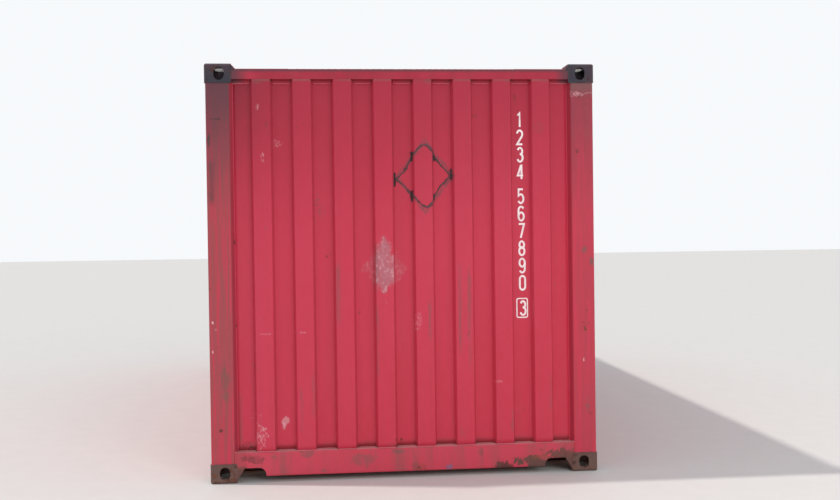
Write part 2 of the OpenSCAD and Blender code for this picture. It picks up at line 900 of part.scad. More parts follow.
// Rod with its two cams and its handle; turn is 1 for a handle towards +y, -1 towards -y
module lock_rod(y, z, turn) {
    translate([0, y, 0]) {
        difference() {
            translate([rod_x, 0, cam_z0]) cylinder(d = rod_d, h = cam_z1 - cam_z0);
            translate([rod_x, 0, cam_z0 + cam_h])
                cylinder(d = rod_d - 2 * rod_wall, h = cam_z1 - cam_z0 - 2 * cam_h);
        }
        for (c = [cam_z0, cam_z1]) cam(c);
        difference() {
            translate([rod_x, 0, z - hub_h / 2]) cylinder(r = hub_r, h = hub_h);
            translate([rod_x, 0, z - hub_h]) cylinder(d = rod_d - 2 * rod_wall, h = 2 * hub_h);
        }
        difference() {
            translate([0, 0, z]) mirror([0, turn > 0 ? 0 : 1, 0]) handle();
            translate([rod_x, 0, z - handle_h]) cylinder(d = rod_d - 2 * rod_wall, h = 2 * handle_h);
        }
    }
}

module lock_rods() {
    color(galvanised) {
        lock_rod(rod_ys[0], handle_z, 1);
        lock_rod(rod_ys[1], handle_z + handle_step, -1);
    }
}

// Block with a bore for the rod, on two feet that are bolted to the door
module rod_guide(y, z) {
    translate([0, y, z - guide_h / 2]) difference() {
        linear_extrude(guide_h) {
            translate([rod_x, 0]) circle(hub_r + 1);
            translate([rod_x, -hub_r - 1]) square([door_x - rod_x, 2 * hub_r + 2]);
            translate([door_x - guide_foot, -guide_w / 2]) square([guide_foot, guide_w]);
        }
        translate([rod_x, 0, -cut]) cylinder(d = rod_d + 2 * guide_clear, h = guide_h + 2 * cut);
    }
}

module rod_guides() {
    color(galvanised) both_sides() for (y = rod_ys, z = guide_zs) rod_guide(y, z);
}

// Bracket under the end of a handle, with a back plate and a lip in front of the bar
module handle_catch(y, z) {
    front = rod_x - 2 * handle_t - catch_clear - catch_t;
    translate([0, y - catch_w / 2, z - handle_h / 2 - catch_clear - catch_t]) {
        translate([door_x - catch_t, 0, 0]) cube([catch_t, catch_w, 2 * handle_h]);
        translate([front, 0, 0]) cube([door_x - front, catch_w, catch_t]);
        translate([front, 0, 0]) cube([catch_t, catch_w, handle_h]);
    }
}

module handle_catches() {
    color(galvanised) both_sides() {
        handle_catch(rod_ys[0] + handle_l - 60, handle_z);
        handle_catch(rod_ys[1] - handle_l + 60, handle_z + handle_step);
    }
}

// Two jaws on the sill or header: each has a foot, a cheek and the lip that holds a claw
module cam_keeper(y, z) {
    cheek_y = cam_reach + keeper_clear;
    lip_x = rod_x - keeper_clear;
    translate([0, y, z - cam_h / 2]) for (s = [0, 1]) mirror([0, s, 0]) linear_extrude(cam_h) {
        translate([lip_x - keeper_t, cheek_y]) square([door_frame_x - lip_x + keeper_t, keeper_t]);
        translate([lip_x - keeper_t, hub_r + keeper_clear])
            square([keeper_t, cheek_y - hub_r - keeper_clear + keeper_t]);
        translate([door_frame_x - keeper_t, cheek_y]) square([keeper_t, 3 * keeper_t]);
    }
}

module cam_keepers() {
    color(worn_paint) both_sides() for (y = rod_ys, z = [cam_z0, cam_z1]) cam_keeper(y, z);
}

// Vents

// Hood in a recess of the side wall, open downwards
module vent() {
    middle = post_side_x - side_slope - side_floor / 2;
    z = rail_under - vent_drop;
    base_y = face_y - side_depth;
    color(plastic) translate([0, base_y, z - vent_h]) difference() {
        translate([middle - vent_w / 2, 0, 0]) rotate([90, 0, 90]) linear_extrude(vent_w)
            polygon([[0, 0], [vent_d, 0], [vent_d, vent_h - vent_d], [0, vent_h]]);
        translate([middle - vent_w / 2 + 3, 3, -cut]) cube([vent_w - 6, vent_d - 6, vent_h - vent_d]);
    }
}

fitting_at(1, -1, 1);  // front_top_left_fitting
fitting_at(1, 1, 1);  // front_top_right_fitting
fitting_at(1, -1, -1);  // front_bottom_left_fitting
fitting_at(1, 1, -1);  // front_bottom_right_fitting
fitting_at(-1, -1, 1);  // rear_top_left_fitting
fitting_at(-1, 1, 1);  // rear_top_right_fitting
fitting_at(-1, -1, -1);  // rear_bottom_left_fitting
fitting_at(-1, 1, -1);  // rear_bottom_right_fitting
to_left() front_post();  // front_left_post
front_post();  // front_right_post
to_left() rear_post();  // rear_left_post
rear_post();  // rear_right_post
front_sill();
front_top_rail();
front_wall();
to_left() side_wall();  // left_wall
side_wall();  // right_wall
to_left() top_rail();  // left_top_rail
top_rail();  // right_top_rail
to_left() bottom_rail();  // left_bottom_rail
bottom_rail();  // right_bottom_rail
roof();
roof_corner_plates();
cross_members();
fork_pocket();  // front_fork_pocket
to_rear() fork_pocket();  // rear_fork_pocket
floor_boards();
floor_centre_rail();
door_sill();
door_header();
to_left() door_frame();  // left_door_frame
door_frame();  // right_door_frame
to_left() door_panel();  // left_door_panel
door_panel();  // right_door_panel
to_left() door_gasket();  // left_door_gasket
door_gasket();  // right_door_gasket
to_left() door_hinges();  // left_door_hinges
door_hinges();  // right_door_hinges
to_left() lock_rods();  // left_lock_rods
lock_rods();  // right_lock_rods
rod_guides();
handle_catches();
cam_keepers();
to_left() vent();  // left_vent
vent();  // right_vent
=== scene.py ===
from math import ceil, cos, exp, pi, radians, sin

import bmesh
import bpy
from mathutils import Matrix, Vector, noise


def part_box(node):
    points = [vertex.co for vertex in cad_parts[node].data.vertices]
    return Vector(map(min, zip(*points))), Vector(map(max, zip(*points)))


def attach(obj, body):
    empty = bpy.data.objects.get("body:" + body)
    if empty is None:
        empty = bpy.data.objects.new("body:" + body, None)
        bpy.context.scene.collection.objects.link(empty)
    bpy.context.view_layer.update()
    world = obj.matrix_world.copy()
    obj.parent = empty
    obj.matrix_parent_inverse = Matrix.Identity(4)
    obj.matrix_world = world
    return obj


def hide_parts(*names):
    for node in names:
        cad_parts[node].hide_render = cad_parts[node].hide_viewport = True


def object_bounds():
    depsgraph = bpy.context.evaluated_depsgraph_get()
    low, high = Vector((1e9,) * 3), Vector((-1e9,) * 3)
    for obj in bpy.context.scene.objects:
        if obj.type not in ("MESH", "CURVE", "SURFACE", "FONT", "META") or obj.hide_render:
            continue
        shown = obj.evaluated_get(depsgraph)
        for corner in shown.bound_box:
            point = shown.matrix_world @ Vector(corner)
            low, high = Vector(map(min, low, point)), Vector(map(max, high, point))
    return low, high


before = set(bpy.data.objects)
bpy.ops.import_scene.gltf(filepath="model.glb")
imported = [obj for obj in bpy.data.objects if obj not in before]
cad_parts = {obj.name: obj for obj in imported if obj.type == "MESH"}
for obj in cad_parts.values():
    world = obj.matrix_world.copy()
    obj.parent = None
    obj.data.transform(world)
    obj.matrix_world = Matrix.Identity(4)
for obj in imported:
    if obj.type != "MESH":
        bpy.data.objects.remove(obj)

cad_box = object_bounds()
BODY = "root"

# Front wall, as its maker draws it
WALL_PITCH = 0.250
WALL_SLOPE = 0.014
WALL_FLOOR = 0.112
WALL_RECESSES = 9
WALL_SHEET = 0.002
SHEET_BEND = 0.005
# The sheet laps over the posts' lips, and lies this much proud of them
LIP_LAP = 0.043
SHEET_PROUD = 0.0008

# Side walls
SIDE_PITCH = 0.278
SIDE_SLOPE = 0.068
SIDE_FLOOR = 0.070
SIDE_RECESSES = 21
SIDE_SHEET = 0.0016

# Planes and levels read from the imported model
wall_low, wall_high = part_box("front_wall")
FRONT_X = wall_high.x
RECESS_X = wall_low.x + WALL_SHEET
SILL_TOP = wall_low.z
RAIL_UNDER = wall_high.z
LIP_Y = wall_high.y
side_low, side_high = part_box("right_wall")
SIDE_Y = side_high.y
SIDE_RECESS_Y = side_low.y + SIDE_SHEET
SIDE_BASE = side_low.z
fitting_low, fitting_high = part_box("front_top_right_fitting")
base_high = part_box("front_bottom_right_fitting")[1]
roof_low, roof_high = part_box("roof")
ROOF_SHEET = 0.002
ROOF_PITCH = 0.209
ROOF_Z = roof_low.z + ROOF_SHEET
leaf_low, leaf_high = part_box("right_door_frame")


def srgb(red, green, blue):
    """Linear colour of a tone as a screen shows it, each part from 0 to 255."""
    def linear(part):
        share = part / 255
        return share / 12.92 if share <= 0.04045 else ((share + 0.055) / 1.055) ** 2.4
    return (linear(red), linear(green), linear(blue), 1.0)


FRESH_RED = srgb(197, 40, 66)
FADED_RED = srgb(212, 74, 100)
# Painted light and shade on the front wall's slopes: a duller red for those that face right, a lighter one
# for those that face left
SLOPE_SHADE_RED = srgb(176, 72, 86)
SLOPE_LIGHT_RED = srgb(222, 72, 94)
# A darker red: a patchy tone on the rails, and on the front wall's upper part a painted shade that takes out
# part of the backdrop's reflection
DARKENED_RED = srgb(150, 22, 48)
# Painted shade for the posts' inner sides beside the wall
PAINTED_SHADE_RED = srgb(158, 58, 72)
DEEP_RED = srgb(104, 10, 32)
WEATHERED_RED = srgb(136, 66, 66)
STREAK_BROWN = srgb(116, 80, 74)
STREAK_RED = srgb(150, 58, 66)
SOOT = srgb(84, 48, 58)
SOOT_RUN = srgb(72, 56, 56)
GREY_GRIME = srgb(112, 80, 78)
BROWN_GRIME = srgb(98, 62, 54)
PALE_SCUFF = srgb(226, 172, 178)
BLUE_SMEAR = srgb(104, 98, 130)
DARK_RUST = srgb(62, 38, 32)
WARM_RUST = srgb(128, 70, 46)
DUST = srgb(150, 132, 118)
CASTING_GREY = srgb(46, 45, 56)
CASTING_BROWN = srgb(106, 78, 68)
# Pale steel of the slots: rubbed bare, and a painted glint
BARE_STEEL_GLINT = srgb(206, 202, 198)
SEALANT = srgb(40, 36, 38)
SEALANT_SMEAR = srgb(104, 66, 72)
RESIDUE = srgb(174, 104, 114)
RESIDUE_FLAKE = srgb(222, 168, 176)
NUMERAL_WHITE = srgb(250, 238, 238)
ZINC = srgb(150, 152, 154)
ZINC_BRIGHT = srgb(188, 190, 192)
ZINC_BLOOM = srgb(196, 190, 184)
UNDERCOAT = srgb(58, 44, 44)
TIMBER_LIGHT = srgb(156, 112, 74)
TIMBER_DARK = srgb(92, 60, 40)
RUBBER = srgb(32, 32, 34)
FLOOR_GREY = srgb(206, 204, 201)
FLOOR_PALE = srgb(214, 212, 209)


class Nodes:
    """A node tree with short ways to add nodes and link them."""

    def __init__(self, tree):
        self.tree = tree

    def feed(self, socket, value):
        if isinstance(value, bpy.types.NodeSocket):
            self.tree.links.new(value, socket)
        else:
            socket.default_value = value

    def add(self, kind, inputs=None, **settings):
        node = self.tree.nodes.new(kind)
        for name, value in settings.items():
            setattr(node, name, value)
        for socket, value in (inputs or {}).items():
            self.feed(node.inputs[socket], value)
        return node

    def math(self, operation, a, b=0.0, c=0.0):
        return self.add("ShaderNodeMath", {0: a, 1: b, 2: c}, operation=operation).outputs[0]

    def both(self, a, b):
        """Mask that holds where two masks hold."""
        return self.math("MULTIPLY", a, b)

    def either(self, a, b):
        """Mask that holds where at least one of two masks holds."""
        return self.math("MAXIMUM", a, b)

    def inverse(self, mask):
        """Mask that holds where another one doesn't."""
        return self.math("SUBTRACT", 1.0, mask)

    def without(self, a, b):
        """Mask that holds where a holds and b doesn't."""
        return self.both(a, self.inverse(b))

    def apart(self, a, b):
        """How far two values are from one another."""
        return self.math("ABSOLUTE", self.math("SUBTRACT", a, b))

    def ramp(self, value, low, high):
        """Smooth step from 0 at low to 1 at high."""
        step = {0: value, 1: low, 2: high}
        return self.add("ShaderNodeMapRange", step, interpolation_type="SMOOTHSTEP").outputs[0]

    def level(self, mask, off, on):
        """Value that goes from off to on with a mask."""
        return self.add("ShaderNodeMapRange", {0: mask, 3: off, 4: on}).outputs[0]

    def blend(self, mask, under, over, strength=None):
        """Colour over laid on colour under where the mask holds, at full strength or at a given one."""
        if strength is not None:
            mask = self.math("MULTIPLY", mask, strength)
        node = self.add("ShaderNodeMix", {0: mask, 6: under, 7: over}, data_type="RGBA")
        return node.outputs[2]

    def grain(self, place, scale, detail=4.0, rough=0.6):
        inputs = {"Vector": place, "Scale": scale, "Detail": detail, "Roughness": rough}
        return self.add("ShaderNodeTexNoise", inputs).outputs[0]

    def shake(self, place, reach, **grain):
        """Ragged offset, up to half the reach either way."""
        return self.math("MULTIPLY_ADD", self.grain(place, **grain), reach, -reach / 2)

    def place(self):
        """Place in the container's own metres: outward, across and up on an end."""
        return self.add("ShaderNodeTexCoord").outputs["Object"]

    def split(self, vector):
        return self.add("ShaderNodeSeparateXYZ", {0: vector}).outputs

    def facing(self):
        """Which way the surface faces, in the same three parts as a place."""
        return self.split(self.add("ShaderNodeNewGeometry").outputs["Normal"])

    def use(self, effect, **inputs):
        """An effect's outputs; each keyword is an input's name in lower case with underscores."""
        node = self.add("ShaderNodeGroup", node_tree=effect)
        for name, value in inputs.items():
            self.feed(node.inputs[name.replace("_", " ").title()], value)
        return node.outputs

    def mask(self, effect, **inputs):
        return self.use(effect, **inputs)["Mask"]


def effect(name, inputs, outputs, build):
    """Node group that build(nodes, inputs) fills and whose outputs it returns by name."""
    tree = bpy.data.node_groups.new(name, "ShaderNodeTree")
    for label, value in inputs.items():
        socket = tree.interface.new_socket(name=label, in_out="INPUT", socket_type="NodeSocketFloat")
        socket.default_value = value
    for label, kind in outputs.items():
        tree.interface.new_socket(name=label, in_out="OUTPUT", socket_type=kind)
    nodes = Nodes(tree)
    given = nodes.add("NodeGroupInput").outputs
    nodes.add("NodeGroupOutput", build(nodes, given))
    return tree


MASK = {"Mask": "NodeSocketFloat"}
BEVEL_SAMPLES = 4


def build_patches(nodes, given):
    """Blotches with a soft or sharp rim; a stretch above 1 draws them out downwards."""
    flat = nodes.math("DIVIDE", 1.0, given["Stretch"])
    squash = nodes.add("ShaderNodeCombineXYZ", {0: 1.0, 1: 1.0, 2: flat}).outputs[0]
    start = nodes.add("ShaderNodeCombineXYZ", {axis: given["Seed"] for axis in range(3)}).outputs[0]
    moved = {0: nodes.place(), 1: squash, 2: start}
    spot = nodes.add("ShaderNodeVectorMath", moved, operation="MULTIPLY_ADD")
    cloud = nodes.grain(spot.outputs[0], scale=given["Scale"], detail=5.0, rough=0.62)
    edge = nodes.math("MULTIPLY_ADD", given["Amount"], -0.5, 0.75)
    low = nodes.math("SUBTRACT", edge, given["Softness"])
    high = nodes.math("ADD", edge, given["Softness"])
    return {"Mask": nodes.ramp(cloud, low=low, high=high)}


patches = effect(
    "patches",
    {"Scale": 1.0, "Stretch": 1.0, "Amount": 0.3, "Softness": 0.05, "Seed": 0.0},
    MASK,
    build_patches,
)


def build_edge_wear(nodes, given):
    """Paint rubbed off along sharp edges, in broken stretches."""
    rounded = nodes.add("ShaderNodeBevel", {"Radius": given["Width"]}, samples=BEVEL_SAMPLES)
    flat = nodes.add("ShaderNodeNewGeometry").outputs["True Normal"]
    turn = nodes.add("ShaderNodeVectorMath", {0: rounded.outputs[0], 1: flat}, operation="DOT_PRODUCT")
    near = nodes.ramp(nodes.inverse(turn.outputs["Value"]), low=0.004, high=0.10)
    broken = nodes.use(patches, scale=given["Scale"], stretch=3.0, amount=given["Amount"], softness=0.06)
    return {"Mask": nodes.both(near, broken["Mask"])}


edge_wear = effect("edge wear", {"Width": 0.004, "Amount": 0.5, "Scale": 9.0}, MASK, build_edge_wear)


def build_rust(nodes, given):
    """Brown tones of old rust, and its rough skin."""
    place = nodes.place()
    tone = nodes.ramp(nodes.grain(place, scale=given["Scale"], detail=6.0, rough=0.7), low=0.35, high=0.65)
    skin = nodes.grain(place, scale=nodes.math("MULTIPLY", given["Scale"], 6.0), detail=4.0, rough=0.7)
    return {"Colour": nodes.blend(tone, DARK_RUST, WARM_RUST), "Height": skin}


rust = effect(
    "rust",
    {"Scale": 14.0},
    {"Colour": "NodeSocketColor", "Height": "NodeSocketFloat"},
    build_rust,
)


def build_ledge_dust(nodes, given):
    """Dust that lies on what faces up."""
    up = nodes.facing()[2]
    cover = nodes.use(patches, scale=5.0, amount=given["Amount"], softness=0.2)
    return {"Mask": nodes.both(nodes.ramp(up, low=0.3, high=0.9), cover["Mask"])}


ledge_dust = effect("ledge dust", {"Amount": 0.6}, MASK, build_ledge_dust)


def build_band(nodes, given):
    """Height band that fades in from Start to Full, either way up, with a ragged rim."""
    place = nodes.place()
    ragged = nodes.math("SUBTRACT", nodes.grain(place, scale=7.0, detail=5.0), 0.5)
    height = nodes.math("MULTIPLY_ADD", ragged, given["Ragged"], nodes.split(place)[2])
    share = nodes.math("SUBTRACT", height, given["Start"])
    span = nodes.math("SUBTRACT", given["Full"], given["Start"])
    return {"Mask": nodes.ramp(nodes.math("DIVIDE", share, span), low=0.0, high=1.0)}


band = effect("height band", {"Start": 0.3, "Full": 0.0, "Ragged": 0.2}, MASK, build_band)


def build_smear(nodes, given):
    """Soft upright smear between two levels, thin and broken."""
    place = nodes.place()
    across, height = nodes.split(place)[1:3]
    wobble = nodes.shake(place, reach=0.03, scale=14.0)
    offset = nodes.math("ADD", nodes.math("SUBTRACT", across, given["Across"]), wobble)
    offset = nodes.math("ABSOLUTE", offset)
    core = nodes.inverse(nodes.ramp(offset, low=0.0, high=given["Half Width"]))
    middle = nodes.math("MULTIPLY", nodes.math("ADD", given["Low"], given["High"]), 0.5)
    half = nodes.math("MULTIPLY", nodes.math("SUBTRACT", given["High"], given["Low"]), 0.5)
    along = nodes.math("DIVIDE", nodes.apart(height, middle), half)
    within = nodes.inverse(nodes.ramp(along, low=0.6, high=1.05))
    broken = nodes.mask(patches, scale=16.0, stretch=4.0, amount=0.62, softness=0.2)
    return {"Mask": nodes.both(nodes.both(core, broken), within)}


smear = effect("smear", {"Across": 0.0, "Low": 0.0, "High": 1.0, "Half Width": 0.02}, MASK, build_smear)


def build_diamond(nodes, given):
    """How far a point on an end is from a diamond's middle: 1 on its outline."""
    place = nodes.place()
    across, height = nodes.split(place)[1:3]
    side = nodes.math("DIVIDE", nodes.apart(across, given["Across"]), given["Half Width"])
    rise = nodes.math("DIVIDE", nodes.apart(height, given["Up"]), given["Half Height"])
    return {"Reach": nodes.math("ADD", side, rise)}


diamond = effect(
    "diamond",
    {"Across": 0.0, "Up": 1.0, "Half Width": 0.15, "Half Height": 0.15},
    {"Reach": "NodeSocketFloat"},
    build_diamond,
)


def build_stain(nodes, given):
    """Ragged spot on an end; a fine scale and a small amount break it up into specks."""
    place = nodes.place()
    across, height = nodes.split(place)[1:3]
    side = nodes.math("DIVIDE", nodes.math("SUBTRACT", across, given["Across"]), given["Half Width"])
    rise = nodes.math("DIVIDE", nodes.math("SUBTRACT", height, given["Up"]), given["Half Height"])
    reach = nodes.math("SQRT", nodes.math("MULTIPLY_ADD", side, side, nodes.math("MULTIPLY", rise, rise)))
    coarse = nodes.shake(place, reach=3.2, scale=13.0, detail=3.0, rough=0.6)
    small = nodes.shake(place, reach=2.0, scale=60.0, detail=4.0, rough=0.7)
    ragged = nodes.math("ADD", reach, nodes.math("ADD", coarse, small))
    inside = nodes.inverse(nodes.ramp(ragged, low=0.55, high=0.95))
    broken = nodes.use(patches, scale=given["Scale"], stretch=1.6, amount=given["Amount"], softness=0.12)
    return {"Mask": nodes.both(inside, broken["Mask"])}


stain = effect(
    "stain",
    {"Across": 0.0, "Up": 1.0, "Half Width": 0.05, "Half Height": 0.05, "Scale": 40.0, "Amount": 0.6},
    MASK,
    build_stain,
)


def new_material(name):
    """Empty material, and its nodes."""
    material = bpy.data.materials.new(name)
    material.use_nodes = True
    material.node_tree.nodes.clear()
    return material, Nodes(material.node_tree)


def surface(nodes, colour, roughness, height, depth=0.001, metallic=0.0, rounding=0.0025):
    """Closes a material: edges rounded in the light, relief, and the shader."""
    soft_edge = nodes.add("ShaderNodeBevel", {"Radius": rounding}, samples=BEVEL_SAMPLES).outputs[0]
    bump = {"Height": height, "Distance": depth, "Normal": soft_edge}
    relief = nodes.add("ShaderNodeBump", bump).outputs[0]
    finish = {"Base Color": colour, "Roughness": roughness, "Metallic": metallic, "Normal": relief}
    shader = nodes.add("ShaderNodeBsdfPrincipled", finish).outputs[0]
    nodes.add("ShaderNodeOutputMaterial", {"Surface": shader})


def stained(nodes, colour, stains, scale, amount, within=1.0):
    """Colour with stains laid on: place across, place up, half width, half height, tone, strength."""
    for across, up, half_width, half_height, tone, strength in stains:
        size = {"half_width": half_width, "half_height": half_height}
        mask = nodes.mask(stain, across=across, up=up, scale=scale, amount=amount, **size)
        mask = nodes.both(mask, within)
        colour = nodes.blend(mask, colour, tone, strength=strength)
    return colour


def smeared(nodes, colour, smears, tone, strength):
    """Colour with upright smears laid on: place across, lowest and highest level, half width."""
    for across, low, high, half_width in smears:
        mask = nodes.mask(smear, across=across, low=low, high=high, half_width=half_width)
        colour = nodes.blend(mask, colour, tone, strength=strength)
    return colour


def red_paint(name, marks=None, weathered=0.0, soot=0.0, wear=0.6, rust_amount=0.2, low_rust=0.5):
    """Container red over steel: faded in clouds, streaked by rain, rubbed and rusting at its edges."""
    material, nodes = new_material(name)
    clouds = nodes.mask(patches, scale=0.8, stretch=1.8, amount=0.5, softness=0.2)
    mottle = nodes.mask(patches, scale=26.0, stretch=1.6, amount=0.5, softness=0.25, seed=3.0)
    fading = nodes.math("MULTIPLY_ADD", clouds, 0.20, nodes.math("MULTIPLY", mottle, 0.10))
    colour = nodes.blend(fading, FRESH_RED, FADED_RED)
    runs = nodes.mask(patches, scale=26.0, stretch=30.0, amount=0.4, softness=0.15, seed=1.0)
    colour = nodes.blend(runs, colour, WEATHERED_RED, strength=0.10)
    scuffs = nodes.mask(patches, scale=5.0, stretch=2.5, amount=0.14, softness=0.03, seed=7.0)
    fine = nodes.mask(patches, scale=45.0, amount=0.45, softness=0.08, seed=2.0)
    colour = nodes.blend(nodes.both(scuffs, fine), colour, GREY_GRIME, strength=0.5)
    relief = nodes.math("MULTIPLY", mottle, 0.25)
    if weathered:
        worn = nodes.mask(patches, scale=11.0, stretch=7.0, amount=weathered, softness=0.16, seed=5.0)
        colour = nodes.blend(worn, colour, WEATHERED_RED, strength=0.7)
    if soot:
        high = nodes.mask(band, start=1.65, full=2.58, ragged=0.25)
        colour = nodes.blend(high, colour, SOOT, strength=soot)
    if marks:
        colour, relief = marks(nodes, colour, relief)
    old_rust = nodes.use(rust)
    spots = nodes.mask(patches, scale=9.0, stretch=1.5, amount=rust_amount, softness=0.02, seed=9.0)
    low = nodes.mask(band, start=0.16, full=0.02, ragged=0.16)
    eaten = nodes.mask(patches, scale=6.0, amount=low_rust, softness=0.05, seed=4.0)
    rusty = nodes.either(nodes.both(spots, fine), nodes.both(low, eaten))
    if wear:
        bare = nodes.math("MULTIPLY", nodes.mask(edge_wear, width=0.005, amount=0.42), wear)
        colour = nodes.blend(bare, colour, GREY_GRIME)
    colour = nodes.blend(rusty, colour, old_rust["Colour"])
    dusty = nodes.math("MULTIPLY", nodes.mask(ledge_dust), 0.45)
    colour = nodes.blend(dusty, colour, DUST)
    dull = nodes.either(rusty, dusty)
    relief = nodes.math("ADD", nodes.both(rusty, old_rust["Height"]), relief)
    surface(nodes, colour, nodes.level(dull, off=0.5, on=0.88), relief)
    return material


# Marks on the front wall: the dirt round a ring of sealant, and the ghost of a square plate on its corner
SEALANT_RING = {"across": 0.137, "up": 1.890, "half_width": 0.175, "half_height": 0.225}
PLATE_GHOST = {"across": -0.125, "up": 1.318, "half_width": 0.150, "half_height": 0.185}

# Smears on the front wall: place across, lowest and highest level, half width
WALL_SMEARS = [
    (-0.577, 0.38, 0.72, 0.022),
    (-0.655, 0.26, 0.60, 0.016),
    (-0.418, 0.95, 1.38, 0.026),
    (0.405, 0.64, 1.36, 0.020),
    (0.345, 0.74, 1.36, 0.018),
    (0.154, 0.84, 1.12, 0.016),
    (0.921, 0.38, 0.64, 0.016),
    (0.674, 0.26, 0.42, 0.014),
    (-0.175, 0.60, 1.12, 0.018),
    (-0.182, 1.14, 1.50, 0.020),
    (-1.035, 0.20, 0.58, 0.024),
]

# Stains, here and in the lists below: place across and up, half width and height, tone, strength
WALL_STAINS = [
    (-0.905, 0.275, 0.046, 0.140, PALE_SCUFF, 0.6),
    (0.079, 0.960, 0.030, 0.080, PALE_SCUFF, 0.45),
    (-0.860, 0.920, 0.050, 0.008, PALE_SCUFF, 0.55),
    (-0.655, 0.925, 0.045, 0.008, PALE_SCUFF, 0.5),
    (-0.930, 0.680, 0.020, 0.050, GREY_GRIME, 0.6),
    (-0.900, 2.320, 0.014, 0.020, PALE_SCUFF, 0.5),
    (-0.780, 2.100, 0.030, 0.026, PALE_SCUFF, 0.4),
    (-0.870, 2.020, 0.014, 0.030, PALE_SCUFF, 0.5),
    (-0.990, 0.205, 0.100, 0.040, DARK_RUST, 0.9),
    (0.590, 0.590, 0.030, 0.012, PALE_SCUFF, 0.6),
    (0.865, 2.190, 0.060, 0.040, WEATHERED_RED, 0.6),
]

# Paint scraped off beside the second rib
SCRAPE = [
    (-0.752, 0.362, 0.020, 0.034, RESIDUE_FLAKE, 0.5),
    (-0.765, 0.335, 0.010, 0.026, RESIDUE_FLAKE, 0.5),
]

# Where a rib's crest starts and is full, behind the front
CREST_FROM = 0.012
CREST_FULL = 0.003
# Height above the sill where the dirt in the recesses starts
RECESS_DIRT_HIGH = 0.05


def painted_side_tone(nodes, colour, tone, strength, within=1.0):
    """Painted light and shade: a tone laid on what faces sideways on an end."""
    aside = nodes.inverse(nodes.ramp(nodes.facing()[0], low=0.45, high=0.95))
    return nodes.blend(nodes.both(aside, within), colour, tone, strength=strength)


def sealant_halo(nodes, place):
    """Mask of the dirt that clings beside the sealant."""
    reach = nodes.use(diamond, **SEALANT_RING)["Reach"]
    shake = nodes.shake(place, reach=0.30, scale=9.0, detail=5.0)
    off_line = nodes.apart(nodes.math("ADD", reach, shake), 1.0)
    near = nodes.inverse(nodes.ramp(off_line, low=0.0, high=0.14))
    return nodes.both(near, nodes.mask(patches, scale=18.0, amount=0.6, softness=0.2, seed=13.0))


def wall_dirt_and_shade(nodes, colour, place, on_crest):
    """Darker towards the top and most in the upper left corner, as painted shade; dirt low in the recesses,
    rubbed crests, and painted light and shade on the slopes.
    """
    # Darker towards the top, most of all towards the left; its tone is set to take out part of the
    # backdrop's reflection there, as painted shade
    high = nodes.mask(band, start=1.30, full=2.72, ragged=0.2)
    colour = nodes.blend(high, colour, DARKENED_RED, strength=0.72)
    towards_left = nodes.inverse(nodes.ramp(nodes.split(place)[1], low=-1.1, high=-0.6))
    corner = nodes.both(towards_left, nodes.both(high, high))
    colour = nodes.blend(corner, colour, DEEP_RED, strength=0.60)
    low = nodes.mask(band, start=SILL_TOP + RECESS_DIRT_HIGH, full=SILL_TOP, ragged=0.05)
    colour = nodes.blend(nodes.without(low, on_crest), colour, BROWN_GRIME, strength=0.6)
    rubbed = nodes.both(nodes.mask(edge_wear, width=0.006, amount=0.3, scale=5.0), on_crest)
    colour = nodes.blend(rubbed, colour, GREY_GRIME, strength=0.35)
    # Painted light and shade on the slopes: those facing left are lightened and those facing right are
    # dulled, against how the lamps light them and the red they throw on one another
    facing_left = nodes.math("LESS_THAN", nodes.facing()[1], 0.0)
    return painted_side_tone(nodes, colour, nodes.blend(facing_left, SLOPE_SHADE_RED, SLOPE_LIGHT_RED), strength=0.45)


def plate_ghost(nodes, colour, place, on_crest):
    """Film and flakes that a square plate has left on its corner. Gives the flakes' mask too."""
    reach = nodes.use(diamond, **PLATE_GHOST)["Reach"]
    rag = nodes.shake(place, reach=1.4, scale=11.0, detail=6.0, rough=0.75)
    inside = nodes.inverse(nodes.ramp(nodes.math("ADD", reach, rag), low=0.80, high=1.05))
    cloudy = nodes.mask(patches, scale=14.0, stretch=2.2, amount=0.8, softness=0.25, seed=11.0)
    film = nodes.both(inside, nodes.both(cloudy, nodes.level(on_crest, off=0.22, on=0.85)))
    colour = nodes.blend(film, colour, RESIDUE)
    flakes = nodes.mask(patches, scale=54.0, stretch=1.5, amount=0.36, softness=0.12, seed=12.0)
    flakes = nodes.both(nodes.both(inside, flakes), nodes.level(on_crest, off=0.22, on=0.54))
    return nodes.blend(flakes, colour, RESIDUE_FLAKE), flakes


def wall_marks(nodes, colour, relief):
    """Dirt and painted light and shade on the front wall, the ghost of a plate, smears and stains, and the
    dirt round the sealant.
    """
    place = nodes.place()
    outward = nodes.split(place)[0]
    on_crest = nodes.ramp(outward, low=FRONT_X - CREST_FROM, high=FRONT_X - CREST_FULL)
    colour = wall_dirt_and_shade(nodes, colour, place, on_crest)
    colour, flakes = plate_ghost(nodes, colour, place, on_crest)
    colour = smeared(nodes, colour, WALL_SMEARS, GREY_GRIME, strength=0.48)
    colour = stained(nodes, colour, WALL_STAINS, scale=80.0, amount=0.4)
    colour = stained(nodes, colour, SCRAPE, scale=20.0, amount=0.95)
    colour = nodes.blend(sealant_halo(nodes, place), colour, SEALANT_SMEAR, strength=0.75)
    return colour, nodes.math("MULTIPLY_ADD", flakes, 0.4, relief)


